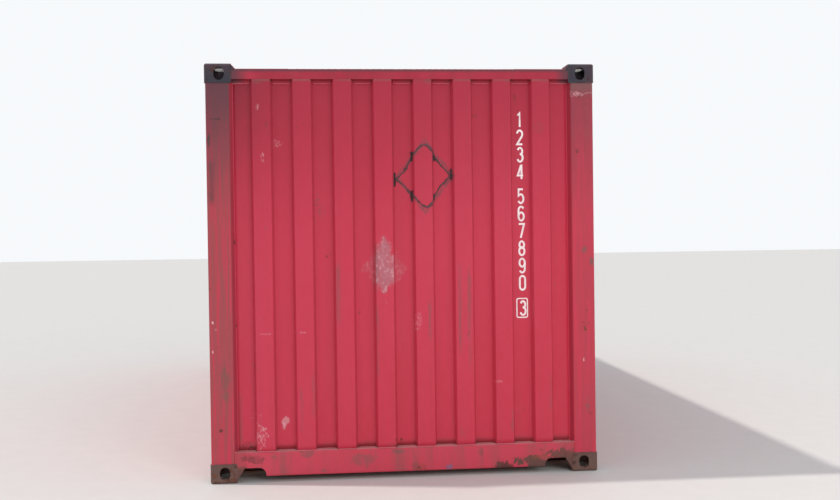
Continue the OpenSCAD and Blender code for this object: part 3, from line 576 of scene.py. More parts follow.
SILL_STAINS = [
    (-0.820, 0.150, 0.060, 0.022, GREY_GRIME, 0.6),
    (-0.600, 0.168, 0.060, 0.024, GREY_GRIME, 0.55),
    (-0.530, 0.056, 0.030, 0.020, GREY_GRIME, 0.6),
    (-0.270, 0.128, 0.090, 0.050, GREY_GRIME, 0.5),
    (-0.040, 0.165, 0.045, 0.018, GREY_GRIME, 0.65),
    (0.060, 0.070, 0.040, 0.030, WEATHERED_RED, 0.6),
    (0.268, 0.060, 0.026, 0.018, BLUE_SMEAR, 0.8),
    (0.470, 0.150, 0.016, 0.040, WEATHERED_RED, 0.8),
    (1.000, 0.120, 0.120, 0.050, WEATHERED_RED, 0.5),
    (-0.960, 0.150, 0.090, 0.026, DARK_RUST, 0.55),
]

# Rust and dirt at the sill's right end, where it has scraped along the ground
SILL_RUST = [
    (0.640, 0.052, 0.080, 0.034, DARK_RUST, 0.9),
    (0.860, 0.056, 0.240, 0.056, BROWN_GRIME, 1.0),
    (0.970, 0.120, 0.130, 0.040, BROWN_GRIME, 0.85),
    (0.870, 0.104, 0.060, 0.022, WARM_RUST, 0.6),
]

# How far from a casting the dirt beside it starts and is full
END_DIRT_FROM = 0.10
END_DIRT_FULL = 0.01
# The same for the dirt in the sill's notches, which lie beside the castings
NOTCH_DIRT_FROM = 0.075
NOTCH_DIRT_FULL = 0.045
# Where the soot along the upper edge of a top rail starts and is full, above the wall
EDGE_SOOT_FROM = 0.036
EDGE_SOOT_FULL = 0.056


def near_castings(nodes):
    """Mask of the last stretch of a rail or sill before a casting."""
    across = nodes.math("ABSOLUTE", nodes.split(nodes.place())[1])
    ragged = nodes.shake(nodes.place(), reach=0.08, scale=9.0, detail=5.0)
    shaken = nodes.math("ADD", across, ragged)
    return nodes.ramp(shaken, low=fitting_low.y - END_DIRT_FROM, high=fitting_low.y - END_DIRT_FULL)


def sill_marks(nodes, colour, relief):
    """Scuffs and rust along the front sill, a painted highlight on what faces up on it, and dirt beside the
    castings.
    """
    colour = nodes.blend(0.045, colour, PALE_SCUFF)
    colour = stained(nodes, colour, SILL_STAINS, scale=34.0, amount=0.66)
    colour = stained(nodes, colour, SILL_RUST, scale=24.0, amount=0.90)
    # Painted light: what faces up on the sill is made paler, as the light from above shows it
    ledge = nodes.ramp(nodes.facing()[2], low=0.6, high=0.95)
    colour = nodes.blend(ledge, colour, PALE_SCUFF, strength=0.55)
    across = nodes.math("ABSOLUTE", nodes.split(nodes.place())[1])
    below = nodes.mask(band, start=0.13, full=0.08, ragged=0.03)
    notch = nodes.ramp(across, low=fitting_low.y - NOTCH_DIRT_FROM, high=fitting_low.y - NOTCH_DIRT_FULL)
    ends = nodes.either(nodes.both(notch, below), nodes.math("MULTIPLY", near_castings(nodes), 0.3))
    return nodes.blend(ends, colour, BROWN_GRIME), relief


def rail_marks(nodes, colour, relief):
    """Soot on the top rails, most of it along the upper edge and beside the castings."""
    height = nodes.split(nodes.place())[2]
    edge = nodes.ramp(height, low=RAIL_UNDER + EDGE_SOOT_FROM, high=RAIL_UNDER + EDGE_SOOT_FULL)
    cover = nodes.mask(patches, scale=5.0, amount=0.6, softness=0.2, seed=15.0)
    colour = nodes.blend(nodes.level(cover, off=0.50, on=0.78), colour, DARKENED_RED)
    colour = nodes.blend(edge, colour, SOOT, strength=0.8)
    return nodes.blend(near_castings(nodes), colour, SOOT, strength=0.85), relief


def weld_marks(nodes, colour, relief):
    """Welds made paler: thin paint over them, and a painted highlight, as the foot weld stands for the lit
    top of the sill.
    """
    # Painted light in part: the pale tone stands for the lit top of the sill along the wall's foot
    return nodes.blend(0.28, colour, PALE_SCUFF), relief


LEFT_POST_STAINS = [
    (-1.150, 2.249, 0.035, 0.006, SEALANT, 0.7),
    (-1.195, 2.120, 0.010, 0.040, SEALANT, 0.6),
    (-1.150, 0.330, 0.012, 0.014, DARK_RUST, 0.8),
    (-1.120, 0.640, 0.030, 0.120, STREAK_BROWN, 0.6),
]

# Dark runs down the left post: place across, lowest and highest level, half width
LEFT_POST_RUNS = [(-1.180, 1.70, 2.02, 0.030), (-1.196, 2.07, 2.17, 0.012)]

LEFT_POST_CHIPS = [
    (-1.192, 0.998, 0.008, 0.010, PALE_SCUFF, 1.0),
    (-1.172, 0.952, 0.010, 0.012, PALE_SCUFF, 1.0),
    (-1.192, 0.818, 0.006, 0.014, PALE_SCUFF, 1.0),
]

RIGHT_POST_STAINS = [
    (1.105, 2.040, 0.012, 0.016, DARK_RUST, 0.8),
    (1.150, 1.420, 0.020, 0.030, GREY_GRIME, 0.7),
    (1.196, 1.345, 0.014, 0.030, GREY_GRIME, 0.8),
    (1.160, 0.420, 0.016, 0.050, GREY_GRIME, 0.6),
    (1.180, 2.250, 0.022, 0.180, STREAK_RED, 0.7),
]

RIGHT_POST_CHIPS = [
    (1.120, 2.400, 0.050, 0.018, PALE_SCUFF, 0.45),
    (1.180, 2.408, 0.040, 0.008, PALE_SCUFF, 0.4),
    (1.136, 0.712, 0.006, 0.014, PALE_SCUFF, 1.0),
]

# The posts' worn front face starts here, and behind it they keep the wall's red
POST_FACE_X = FRONT_X - 0.006
POST_FACE_FADE = 0.004
# How far outward from the castings' inner side a post's inner side reaches
POST_INNER_REACH = 0.015

# The last entry of each is how strong the painted shade on the post's inner side is
LEFT_POST_WEAR = {
    "streaks": STREAK_BROWN, "stretch": 36.0, "streaking": 0.54, "sooting": 0.90, "under": 0.0, "side_shade": 0.85,
}
RIGHT_POST_WEAR = {
    "streaks": STREAK_RED, "stretch": 28.0, "streaking": 0.40, "sooting": 0.58, "under": 0.7, "side_shade": 0.40,
}


def post_marks(nodes, colour, wear, stains, chips):
    """Streaks and soot on a post's front face, painted shade on its inner side beside the wall, then its
    stains and chips.
    """
    outward, across = nodes.split(nodes.place())[0:2]
    on_face = nodes.ramp(outward, low=POST_FACE_X - POST_FACE_FADE, high=POST_FACE_X)
    in_front = nodes.math("GREATER_THAN", outward, RECESS_X - WALL_SHEET)
    inner = nodes.math("LESS_THAN", nodes.math("ABSOLUTE", across), fitting_low.y + POST_INNER_REACH)
    runs = nodes.mask(patches, scale=54.0, stretch=wear["stretch"], amount=0.58, softness=0.12, seed=17.0)
    colour = nodes.blend(nodes.both(runs, on_face), colour, wear["streaks"], strength=wear["streaking"])
    high = nodes.mask(band, start=1.55, full=2.52, ragged=0.2)
    sooty = nodes.both(high, nodes.level(on_face, off=0.2, on=wear["sooting"]))
    colour = nodes.blend(sooty, colour, SOOT)
    under = nodes.mask(band, start=2.36, full=2.46, ragged=0.05)
    colour = nodes.blend(nodes.both(under, on_face), colour, GREY_GRIME, strength=wear["under"])
    # Painted shade: the post's inner side beside the wall is darkened, where the lamps and the red wall's
    # glow leave it too bright
    colour = painted_side_tone(nodes, colour, PAINTED_SHADE_RED, wear["side_shade"], within=nodes.both(inner, in_front))
    colour = stained(nodes, colour, stains, scale=45.0, amount=0.66, within=on_face)
    return stained(nodes, colour, chips, scale=110.0, amount=0.62, within=on_face)


def left_post_marks(nodes, colour, relief):
    """Heavy wear, on the side that stood in the weather."""
    colour = post_marks(nodes, colour, LEFT_POST_WEAR, LEFT_POST_STAINS, LEFT_POST_CHIPS)
    return smeared(nodes, colour, LEFT_POST_RUNS, SOOT_RUN, strength=0.85), relief


def right_post_marks(nodes, colour, relief):
    """Lighter wear."""
    return post_marks(nodes, colour, RIGHT_POST_WEAR, RIGHT_POST_STAINS, RIGHT_POST_CHIPS), relief


# The twistlock slots, from the ends and the sides of the box
SLOT_FROM_END = 0.1025
SLOT_FROM_SIDE = 0.0895
SLOT_HALF_LENGTH = 0.062
SLOT_HALF_WIDTH = 0.03175
SLOT_PLATE = 0.028
# A rim's mask reaches this share past its slot, and this far below its plate
RIM_SHARE = 1.03
RIM_BELOW = 0.001


def slot_rims_and_glint(nodes, place):
    """Mask of the slots' rims and walls: steel that locks have rubbed bare, painted pale enough to stand for
    the sunlit glint inside the holes.
    """
    outward, across, height = nodes.split(place)[0:3]
    along = nodes.apart(nodes.math("ABSOLUTE", outward), fitting_high.x - SLOT_FROM_END)
    beside = nodes.apart(nodes.math("ABSOLUTE", across), fitting_high.y - SLOT_FROM_SIDE)
    near_x = nodes.math("LESS_THAN", along, SLOT_HALF_LENGTH * RIM_SHARE)
    near_y = nodes.math("LESS_THAN", beside, SLOT_HALF_WIDTH * RIM_SHARE)
    above = nodes.math("GREATER_THAN", height, fitting_high.z - SLOT_PLATE - RIM_BELOW)
    below = nodes.math("LESS_THAN", height, SLOT_PLATE + RIM_BELOW)
    return nodes.both(nodes.both(near_x, near_y), nodes.either(above, below))


def casting_steel(name):
    """Cast fittings: worn dark paint, brown with rust and mud at the ground, and pale bare steel at the
    slots that also serves as a painted glint.
    """
    material, nodes = new_material(name)
    place = nodes.place()
    low = nodes.mask(band, start=0.35, full=0.0, ragged=0.1)
    colour = nodes.blend(low, CASTING_GREY, CASTING_BROWN)
    tint = nodes.mask(patches, scale=7.0, amount=0.45, softness=0.15, seed=6.0)
    colour = nodes.blend(tint, colour, WEATHERED_RED, strength=0.16)
    old_rust = nodes.use(rust, scale=20.0)
    pitted = nodes.mask(patches, scale=24.0, amount=0.30, softness=0.04, seed=8.0)
    rusty = nodes.both(pitted, nodes.level(low, off=0.35, on=0.8))
    colour = nodes.blend(rusty, colour, old_rust["Colour"])
    rubbed = nodes.mask(edge_wear, width=0.006, amount=0.5, scale=14.0)
    colour = nodes.blend(rubbed, colour, DUST, strength=0.20)
    # Painted glint in part: the slots' walls are pale steel, standing for the sunlight seen inside the holes
    colour = nodes.blend(slot_rims_and_glint(nodes, place), colour, BARE_STEEL_GLINT, strength=0.85)
    sand = nodes.grain(place, scale=160.0, detail=5.0, rough=0.7)
    relief = nodes.math("MULTIPLY_ADD", pitted, -0.8, sand)
    surface(nodes, colour, nodes.level(pitted, off=0.62, on=0.9), relief, depth=0.002, rounding=0.005)
    return material


def undercoated_steel(name):
    """Cross members and fork pockets: dark undercoat with rust and road dirt."""
    material, nodes = new_material(name)
    clouds = nodes.mask(patches, scale=4.0, amount=0.5, softness=0.2, seed=2.0)
    colour = nodes.blend(clouds, UNDERCOAT, WEATHERED_RED, strength=0.5)
    old_rust = nodes.use(rust)
    spots = nodes.mask(patches, scale=11.0, amount=0.4, softness=0.04, seed=4.0)
    colour = nodes.blend(spots, colour, old_rust["Colour"])
    muddy = nodes.mask(patches, scale=2.0, amount=0.4, softness=0.15, seed=9.0)
    colour = nodes.blend(muddy, colour, DUST, strength=0.4)
    surface(nodes, colour, nodes.level(spots, off=0.7, on=0.92), old_rust["Height"], depth=0.0015)
    return material


def galvanised(name):
    """Zinc-coated rods and brackets: spangle, white bloom and rust where they rub."""
    material, nodes = new_material(name)
    place = nodes.place()
    crystals = nodes.add("ShaderNodeTexVoronoi", {"Vector": place, "Scale": 90.0})
    spangle = nodes.split(crystals.outputs["Color"])[0]
    colour = nodes.blend(spangle, ZINC, ZINC_BRIGHT, strength=0.35)
    bloom = nodes.mask(patches, scale=12.0, stretch=2.0, amount=0.4, softness=0.15)
    colour = nodes.blend(bloom, colour, ZINC_BLOOM, strength=0.4)
    old_rust = nodes.use(rust, scale=25.0)
    rubbed = nodes.mask(edge_wear, width=0.004, amount=0.5, scale=16.0)
    spots = nodes.mask(patches, scale=20.0, stretch=1.5, amount=0.22, softness=0.04, seed=5.0)
    rusty = nodes.either(nodes.math("MULTIPLY", rubbed, 0.6), spots)
    colour = nodes.blend(rusty, colour, old_rust["Colour"])
    clean = nodes.inverse(nodes.either(rusty, bloom))
    metallic = nodes.math("MULTIPLY", clean, 0.75)
    relief = nodes.math("MULTIPLY", old_rust["Height"], rusty)
    surface(nodes, colour, nodes.level(clean, off=0.75, on=0.42), relief, metallic=metallic)
    return material


# The grain runs along the container, and is this much finer across it
WOOD_GRAIN = (1.0, 26.0, 26.0)


def plywood(name):
    """Floor boards: long grain, darkened by oil and wear."""
    material, nodes = new_material(name)
    drawn_out = {0: nodes.place(), 1: WOOD_GRAIN}
    stretch = nodes.add("ShaderNodeVectorMath", drawn_out, operation="MULTIPLY")
    fibre = nodes.grain(stretch.outputs[0], scale=2.6, detail=6.0, rough=0.65)
    colour = nodes.blend(nodes.ramp(fibre, low=0.3, high=0.7), TIMBER_LIGHT, TIMBER_DARK)
    oily = nodes.mask(patches, scale=1.6, amount=0.45, softness=0.15)
    colour = nodes.blend(oily, colour, UNDERCOAT, strength=0.5)
    surface(nodes, colour, nodes.level(oily, off=0.8, on=0.6), fibre, depth=0.0008)
    return material


def seal_rubber(name):
    """Door seals: black rubber, dusty and slightly bloomed."""
    material, nodes = new_material(name)
    dusty = nodes.mask(patches, scale=9.0, stretch=2.0, amount=0.5, softness=0.2)
    colour = nodes.blend(dusty, RUBBER, DUST, strength=0.3)
    fine = nodes.grain(nodes.place(), scale=220.0, detail=3.0)
    surface(nodes, colour, nodes.level(dusty, off=0.55, on=0.8), fine, depth=0.0003, rounding=0.0015)
    return material


def vent_plastic(name):
    """Vent hoods: red plastic gone chalky."""
    material, nodes = new_material(name)
    chalk = nodes.mask(patches, scale=12.0, stretch=2.0, amount=0.5, softness=0.2)
    colour = nodes.blend(chalk, FRESH_RED, FADED_RED, strength=0.5)
    grime = nodes.mask(edge_wear, width=0.006, amount=0.5, scale=18.0)
    colour = nodes.blend(grime, colour, GREY_GRIME, strength=0.5)
    fine = nodes.grain(nodes.place(), scale=300.0, detail=3.0)
    surface(nodes, colour, nodes.level(chalk, off=0.4, on=0.6), fine, depth=0.0003)
    return material


def old_sealant(name, dust, cover):
    """Black sealant, smeared and dusty."""
    material, nodes = new_material(name)
    dusty = nodes.mask(patches, scale=30.0, amount=dust, softness=0.2, seed=14.0)
    colour = nodes.blend(dusty, SEALANT, SEALANT_SMEAR, strength=cover)
    surface(nodes, colour, 0.7, nodes.grain(nodes.place(), scale=120.0), depth=0.0006)
    return material


def numeral_paint(name):
    """White marking paint, with the red showing where it has chipped."""
    material, nodes = new_material(name)
    soiled = nodes.mask(patches, scale=30.0, amount=0.4, softness=0.2)
    colour = nodes.blend(soiled, NUMERAL_WHITE, RESIDUE, strength=0.25)
    chipped = nodes.mask(patches, scale=90.0, amount=0.06, softness=0.02, seed=21.0)
    colour = nodes.blend(chipped, colour, FRESH_RED)
    surface(nodes, colour, 0.55, nodes.inverse(chipped), depth=0.0002, rounding=0.0002)
    return material


wall_paint = red_paint("front wall paint", marks=wall_marks, wear=0.0, rust_amount=0.1, low_rust=0.0)
sill_paint = red_paint(
    "front sill paint", marks=sill_marks, weathered=0.30, wear=0.5, rust_amount=0.12, low_rust=0.1,
)
rail_paint = red_paint("top rail paint", marks=rail_marks, weathered=0.35, wear=0.5, rust_amount=0.14)
left_post_paint = red_paint("left post paint", marks=left_post_marks, low_rust=0.3)
right_post_paint = red_paint(
    "right post paint", marks=right_post_marks, wear=0.5, rust_amount=0.14, low_rust=0.3,
)
box_paint = red_paint("container paint", weathered=0.22, soot=0.22, wear=0.35, rust_amount=0.16)
frame_paint = red_paint("frame paint", weathered=0.5, soot=0.6, rust_amount=0.3, low_rust=0.8)
casting = casting_steel("casting")
undercoat = undercoated_steel("undercoat")
zinc = galvanised("galvanised steel")
timber = plywood("plywood")
rubber = seal_rubber("seal rubber")
plastic = vent_plastic("vent plastic")
marking = numeral_paint("marking paint")
weld_paint = red_paint("weld paint", marks=weld_marks, wear=0.0, rust_amount=0.08, low_rust=0.2)
sealant = old_sealant("old sealant", dust=0.35, cover=0.75)
thin_sealant = old_sealant("thin sealant", dust=0.82, cover=0.90)

def dress(material, *names):
    """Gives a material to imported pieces."""
    for name in names:
        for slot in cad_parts[name].material_slots:
            slot.material = material


SIDES = ("left", "right")
for end in ("front", "rear"):
    for level in ("top", "bottom"):
        dress(casting, *[f"{end}_{level}_{side}_fitting" for side in SIDES])
dress(left_post_paint, "front_left_post")
dress(right_post_paint, "front_right_post")
dress(frame_paint, "rear_left_post", "rear_right_post", "roof_corner_plates", "cam_keepers")
dress(sill_paint, "front_sill")
dress(rail_paint, "front_top_rail", "left_top_rail", "right_top_rail")
dress(box_paint, "roof", "door_header", "door_sill", "front_wall")
for side in SIDES:
    painted = ("wall", "bottom_rail", "door_frame", "door_panel", "door_hinges")
    dress(box_paint, *[f"{side}_{part}" for part in painted])
    dress(zinc, f"{side}_lock_rods")
    dress(rubber, f"{side}_door_gasket")
    dress(plastic, f"{side}_vent")
dress(undercoat, "cross_members", "front_fork_pocket", "rear_fork_pocket")
dress(zinc, "rod_guides", "handle_catches", "floor_centre_rail")
dress(timber, "floor_boards")


def linked(name, data):
    """New object in the scene."""
    thing = bpy.data.objects.new(name, data)
    bpy.context.scene.collection.objects.link(thing)
    return thing


def placed(name, mesh, material):
    """New piece of the container, with its mesh in the frame's own metres."""
    mesh.materials.append(material)
    thing = linked(name, mesh)
    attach(thing, BODY)
    return thing


def piece(name, points, faces, material, smooth=False):
    """New piece of the container from its points and faces."""
    mesh = bpy.data.meshes.new(name)
    mesh.from_pydata(points, [], faces)
    mesh.validate()
    if smooth:
        mesh.shade_smooth()
    return placed(name, mesh, material)


def join(points, faces, more_points, more_faces):
    """Adds a shape's points and faces to those of its piece."""
    start = len(points)
    points += more_points
    faces += [tuple(start + corner for corner in face) for face in more_faces]


def finished(name, shell):
    """Mesh of a shell that was put together shape by shape."""
    mesh = bpy.data.meshes.new(name)
    shell.to_mesh(mesh)
    shell.free()
    return mesh


def bevelled(thing, width):
    """Gives a piece soft edges of a width."""
    softer = thing.modifiers.new("edges", "BEVEL")
    softer.width = width
    softer.segments = 2


def thickened(thing, thickness, offset):
    """Gives a sheet its thickness: behind it at an offset of -1, in front of it at 1."""
    thick = thing.modifiers.new("thickness", "SOLIDIFY")
    thick.thickness = thickness
    thick.offset = offset


def strips(name, spots, material, edge):
    """Flat strips as one piece, each with its middle and its size."""
    shell = bmesh.new()
    for middle, size in spots:
        stretched = Matrix.Translation(middle) @ Matrix.Diagonal((*size, 1.0))
        bmesh.ops.create_cube(shell, size=1.0, matrix=stretched)
    bevelled(placed(name, finished(name, shell), material), edge)


# A bolt's washer and head: width and height in radii of the head, and number of sides
BOLT_SHAPES = ((1.7, 0.35, 20), (1.0, 1.2, 6))
BOLT_TAPER = 0.92


def bolt_heads(name, spots, facing, radius, material):
    """Hexagon heads on their washers, all facing one way."""
    turn = Vector((0, 0, 1)).rotation_difference(Vector(facing)).to_matrix().to_4x4()
    shell = bmesh.new()
    for spot in spots:
        for wide, tall, sides in BOLT_SHAPES:
            middle = Matrix.Translation(spot) @ turn @ Matrix.Translation((0, 0, radius * tall / 2))
            bmesh.ops.create_cone(
                shell,
                cap_ends=True,
                segments=sides,
                radius1=radius * wide,
                radius2=radius * wide * BOLT_TAPER,
                depth=radius * tall,
                matrix=middle,
            )
    placed(name, finished(name, shell), material)


def centred(count, pitch):
    """Places of a row that lies evenly about the middle."""
    return [(index - (count - 1) / 2) * pitch for index in range(count)]


def corrugation(count, pitch, floor, slope, front, back):
    """Corners of a corrugated sheet, as places across and depths, one recess after another."""
    corners = []
    for middle in centred(count, pitch):
        inner, outer = floor / 2, floor / 2 + slope
        corners += [(middle - outer, front), (middle - inner, back)]
        corners += [(middle + inner, back), (middle + outer, front)]
    return corners


def rounded(corners, radius, steps):
    """Path with each inner corner replaced by an arc."""
    path = [Vector(corners[0])]
    for before, corner, after in zip(corners, corners[1:], corners[2:]):
        corner = Vector(corner)
        back = (Vector(before) - corner).normalized()
        ahead = (Vector(after) - corner).normalized()
        half = back.angle(ahead) / 2
        tangent = radius * cos(half) / sin(half)
        middle = corner + (back + ahead).normalized() * radius / sin(half)
        first = corner + back * tangent - middle
        last = corner + ahead * tangent - middle
        sweep = first.angle(last)
        for step in range(steps + 1):
            share = step / steps
            path.append(middle + (first * sin((1 - share) * sweep) + last * sin(share * sweep)) / sin(sweep))
    path.append(Vector(corners[-1]))
    return path


def divided(path, longest):
    """Path with every stretch cut into steps no longer than the given length."""
    dense = [path[0]]
    for start, end in zip(path, path[1:]):
        steps = max(1, ceil((end - start).length / longest))
        dense += [start.lerp(end, step / steps) for step in range(1, steps + 1)]
    return dense


# Waves of the front wall's sheet: depth, turns per metre across and up, and a place in the noise
WAVES = [(0.0022, 2.6, 1.2, 3.7), (0.0010, 9.0, 4.0, 8.1)]
# Knocks in it: place across and up, spread, depth
KNOCKS = [
    (-0.76, 0.36, 0.07, 0.006),
    (0.93, 0.52, 0.10, 0.005),
    (-0.40, 1.15, 0.12, 0.005),
    (0.35, 1.0, 0.15, 0.004),
]
# How far from its upper and lower edges, and from the posts' lips, the sheet is held flat
FLAT_AT_RAILS = 0.10
FLAT_AT_LIPS = 0.03


def dent_depth(across, height):
    """How far the front wall is pushed in at a place: the sheet's own waves, and a few knocks."""
    dent = 0.0
    for depth, turns_across, turns_up, start in WAVES:
        dent += depth * noise.noise(Vector((across * turns_across, height * turns_up, start)))
    for place, level, spread, depth in KNOCKS:
        dent += depth * exp(-((across - place) ** 2 + (height - level) ** 2) / spread ** 2)
    upright = min(height - SILL_TOP, RAIL_UNDER - height) / FLAT_AT_RAILS
    sideways = (LIP_Y - abs(across)) / FLAT_AT_LIPS
    return dent * max(0.0, min(1.0, upright, sideways))


def dented(depth, across, height):
    """Point of the front wall, where its plain profile has the given depth."""
    return Vector((depth + SHEET_PROUD - dent_depth(across, height), across, height))


WALL_CORNERS = corrugation(WALL_RECESSES, WALL_PITCH, WALL_FLOOR, WALL_SLOPE, FRONT_X, RECESS_X)
BEND_STEPS = 5
SHEET_STEP = 0.035
SHEET_ROWS = 66


def wall_profile():
    """Outer side of the front wall, as places across and depths."""
    edge = LIP_Y + LIP_LAP
    corners = [(-edge, RECESS_X)] + WALL_CORNERS[2:-2] + [(edge, RECESS_X)]
    return divided(rounded(corners, SHEET_BEND, BEND_STEPS), SHEET_STEP)


PROFILE = wall_profile()


def on_sheet(across, height):
    """Point on the outer side of the front wall."""
    for start, end in zip(PROFILE, PROFILE[1:]):
        if start.x <= across < end.x:
            depth = start.y + (end.y - start.y) * (across - start.x) / (end.x - start.x)
            return dented(depth, across, height)


def front_sheet():
    """The front wall with softer bends than the plain solid, its waves and its knocks."""
    points = []
    for row in range(SHEET_ROWS + 1):
        height = SILL_TOP + (RAIL_UNDER - SILL_TOP) * row / SHEET_ROWS
        points += [dented(spot.y, spot.x, height) for spot in PROFILE]
    wide = len(PROFILE)
    faces = []
    for row in range(SHEET_ROWS):
        for step in range(wide - 1):
            corner = row * wide + step
            faces.append((corner, corner + 1, corner + wide + 1, corner + wide))
    sheet = piece("front_wall_sheet", points, faces, wall_paint, smooth=True)
    thickened(sheet, WALL_SHEET, -1)
    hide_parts("front_wall")


front_sheet()

# A bead is a tube with few sides that swells in ripples and lumps, and thins out at its ends
BEAD_SIDES = 6
BEAD_END = 0.4
RIPPLE = 0.16
RIPPLE_TURN = 1.9
LUMPS_PER_METRE = 40


def bead(path, radius, step, lumpy):
    """Weld or sealant along a path: a low rippled tube. Gives its points and faces."""
    dense = divided([Vector(spot) for spot in path], step)
    last = len(dense) - 1
    points, faces = [], []
    for index, spot in enumerate(dense):
        ahead = (dense[min(index + 1, last)] - dense[max(index - 1, 0)]).normalized()
        side = ahead.orthogonal().normalized()
        other = ahead.cross(side)
        lump = lumpy * noise.noise(spot * LUMPS_PER_METRE)
        swell = radius * (1 + RIPPLE * sin(index * RIPPLE_TURN) + lump)
        if index in (0, last):
            swell *= BEAD_END
        for turn in range(BEAD_SIDES):
            angle = 2 * pi * turn / BEAD_SIDES
            points.append(spot + swell * (cos(angle) * side + sin(angle) * other))
    for ring in range(last):
        for turn in range(BEAD_SIDES):
            here = ring * BEAD_SIDES + turn
            beside = ring * BEAD_SIDES + (turn + 1) % BEAD_SIDES
            faces.append((here, beside, beside + BEAD_SIDES, here + BEAD_SIDES))
    faces.append(tuple(reversed(range(BEAD_SIDES))))
    faces.append(tuple(range(last * BEAD_SIDES, (last + 1) * BEAD_SIDES)))
    return points, faces


def beads(name, paths, radius, material, step=0.006, lumpy=0.25):
    """One piece that holds all the beads of a family."""
    points, faces = [], []
    for path in paths:
        join(points, faces, *bead(path, radius, step, lumpy))
    return piece(name, points, faces, material, smooth=True)


# Radii of the welds, and how far their middles stand before the front
FOOT_WELD = 0.0028
CASTING_WELD = 0.0035
LIP_WELD = 0.0024
SIDE_WELD = 0.0026
ROOF_WELD = 0.0022
FOOT_WELD_OUT = 0.001
LEVEL_WELD_OUT = 0.002
UPRIGHT_WELD_OUT = 0.001
# The long welds, which are seen from far, have longer steps
LONG_WELD_STEP = 0.012
# Where the castings' welds end: before the outer corner, at the roof plate and at the foot
CASTING_CORNER = 0.020
ROOF_PLATE_DROP = 0.038
WELD_FOOT = 0.020


def front_seams():
    """Welds that the front shows: wall to sill, and posts, rail and sill to the castings."""
    wall_line = [(-fitting_low.y, FRONT_X)] + WALL_CORNERS + [(fitting_low.y, FRONT_X)]
    foot = [(depth + FOOT_WELD_OUT, across, SILL_TOP) for across, depth in wall_line]
    beads("wall_foot_weld", [foot], FOOT_WELD, weld_paint)
    paths = []
    for side in (-1, 1):
        inner, outer = side * fitting_low.y, side * (fitting_high.y - CASTING_CORNER)
        front = FRONT_X + LEVEL_WELD_OUT
        for level in (fitting_low.z, base_high.z):
            paths.append([(front, inner, level), (front, outer, level)])
        front = FRONT_X + UPRIGHT_WELD_OUT
        for low, high in ((fitting_low.z, fitting_high.z - ROOF_PLATE_DROP), (WELD_FOOT, base_high.z)):
            paths.append([(front, inner, low), (front, inner, high)])
    beads("casting_welds", paths, CASTING_WELD, casting)


front_seams()

RAIL_LIP_HIGH = 0.022
RAIL_LIP_THICK = 0.004
RAIL_LIP_LAP = 0.004
RAIL_LIP_EDGE = 0.0015
# The weld's middle lies within the lip, at this share of its thickness
LIP_WELD_SHARE = 0.7


def rail_lip():
    """Lip of the front rail, which shows at the top of each recess, and the weld along it."""
    spots, paths = [], []
    size = (2 * RAIL_LIP_THICK, WALL_FLOOR + 2 * RAIL_LIP_LAP, RAIL_LIP_HIGH)
    front, foot = RECESS_X + RAIL_LIP_THICK * LIP_WELD_SHARE, RAIL_UNDER - RAIL_LIP_HIGH
    for middle in centred(WALL_RECESSES, WALL_PITCH):
        spots.append(((RECESS_X, middle, RAIL_UNDER - RAIL_LIP_HIGH / 2), size))
        paths.append([(front, middle + side * WALL_FLOOR / 2, foot) for side in (-1, 1)])
    strips("front_rail_lip", spots, rail_paint, RAIL_LIP_EDGE)
    beads("rail_lip_weld", paths, LIP_WELD, weld_paint)


rail_lip()

SHOULDER_WIDE = 0.026
SHOULDER_DEEP = 0.030
SHOULDER_PROUD = 0.0015
SHOULDER_EDGE = 0.003
# How far a shoulder reaches into its casting, and lies below the casting's top and the roof
SHOULDER_ROOT = 0.002
SHOULDER_FROM_TOP = 0.003
SHOULDER_FROM_ROOF = 0.006
# Its two triangles and three sides, with corners 0 to 2 at the back and 3 to 5 in front
SHOULDER_FACES = ((0, 1, 2), (5, 4, 3), (0, 3, 4, 1), (1, 4, 5, 2), (2, 5, 3, 0))


def casting_shoulders():
    """Sloped shoulder between each front top casting and the rail."""
    points, faces = [], []
    high, low = fitting_high.z - SHOULDER_FROM_TOP, roof_low.z - SHOULDER_FROM_ROOF
    for side in (-1, 1):
        root, tip = side * (fitting_low.y + SHOULDER_ROOT), side * (fitting_low.y - SHOULDER_WIDE)
        corners = []
        for depth in (FRONT_X - SHOULDER_DEEP, FRONT_X + SHOULDER_PROUD):
            corners += [(depth, root, high), (depth, root, low), (depth, tip, low)]
        join(points, faces, corners, SHOULDER_FACES)
    bevelled(piece("casting_shoulders", points, faces, casting), SHOULDER_EDGE)


casting_shoulders()

# The sealant's ring as it was laid, place across and up, clockwise from its left tip
SEALANT_LINE = [
    (-0.048, 1.873), (0.010, 1.923), (0.042, 1.981), (0.063, 2.017), (0.089, 2.054), (0.112, 2.080),
    (0.139, 2.087), (0.166, 2.067), (0.188, 2.031), (0.210, 1.998), (0.242, 1.957), (0.278, 1.920),
    (0.299, 1.895), (0.286, 1.875), (0.245, 1.835), (0.212, 1.790), (0.191, 1.748), (0.174, 1.712),
    (0.149, 1.692), (0.116, 1.708), (0.089, 1.735), (0.066, 1.764), (0.040, 1.791), (0.004, 1.837),
    (-0.048, 1.873),
]
# Lumps of it on the slopes: place across, lowest and highest level
SEALANT_LUMPS = [
    (0.059, 1.985, 2.045), (0.059, 1.730, 1.800), (-0.057, 1.825, 1.915),
    (0.190, 1.985, 2.020), (0.190, 1.735, 1.775), (0.309, 1.865, 1.935),
]
# Radius, step and share of the height that is left when it is pressed on
RING_BEAD = (0.0066, 0.005, 0.35)
LUMP_BEAD = (0.0110, 0.004, 0.45)
SEALANT_LUMPY = 0.9
# How far the hand that laid the ring strayed, and the wavering's turns per metre
STRAY = 0.004
STRAY_TURNS = 45
STRAY_START = 1.3
RING_STEP = 0.006


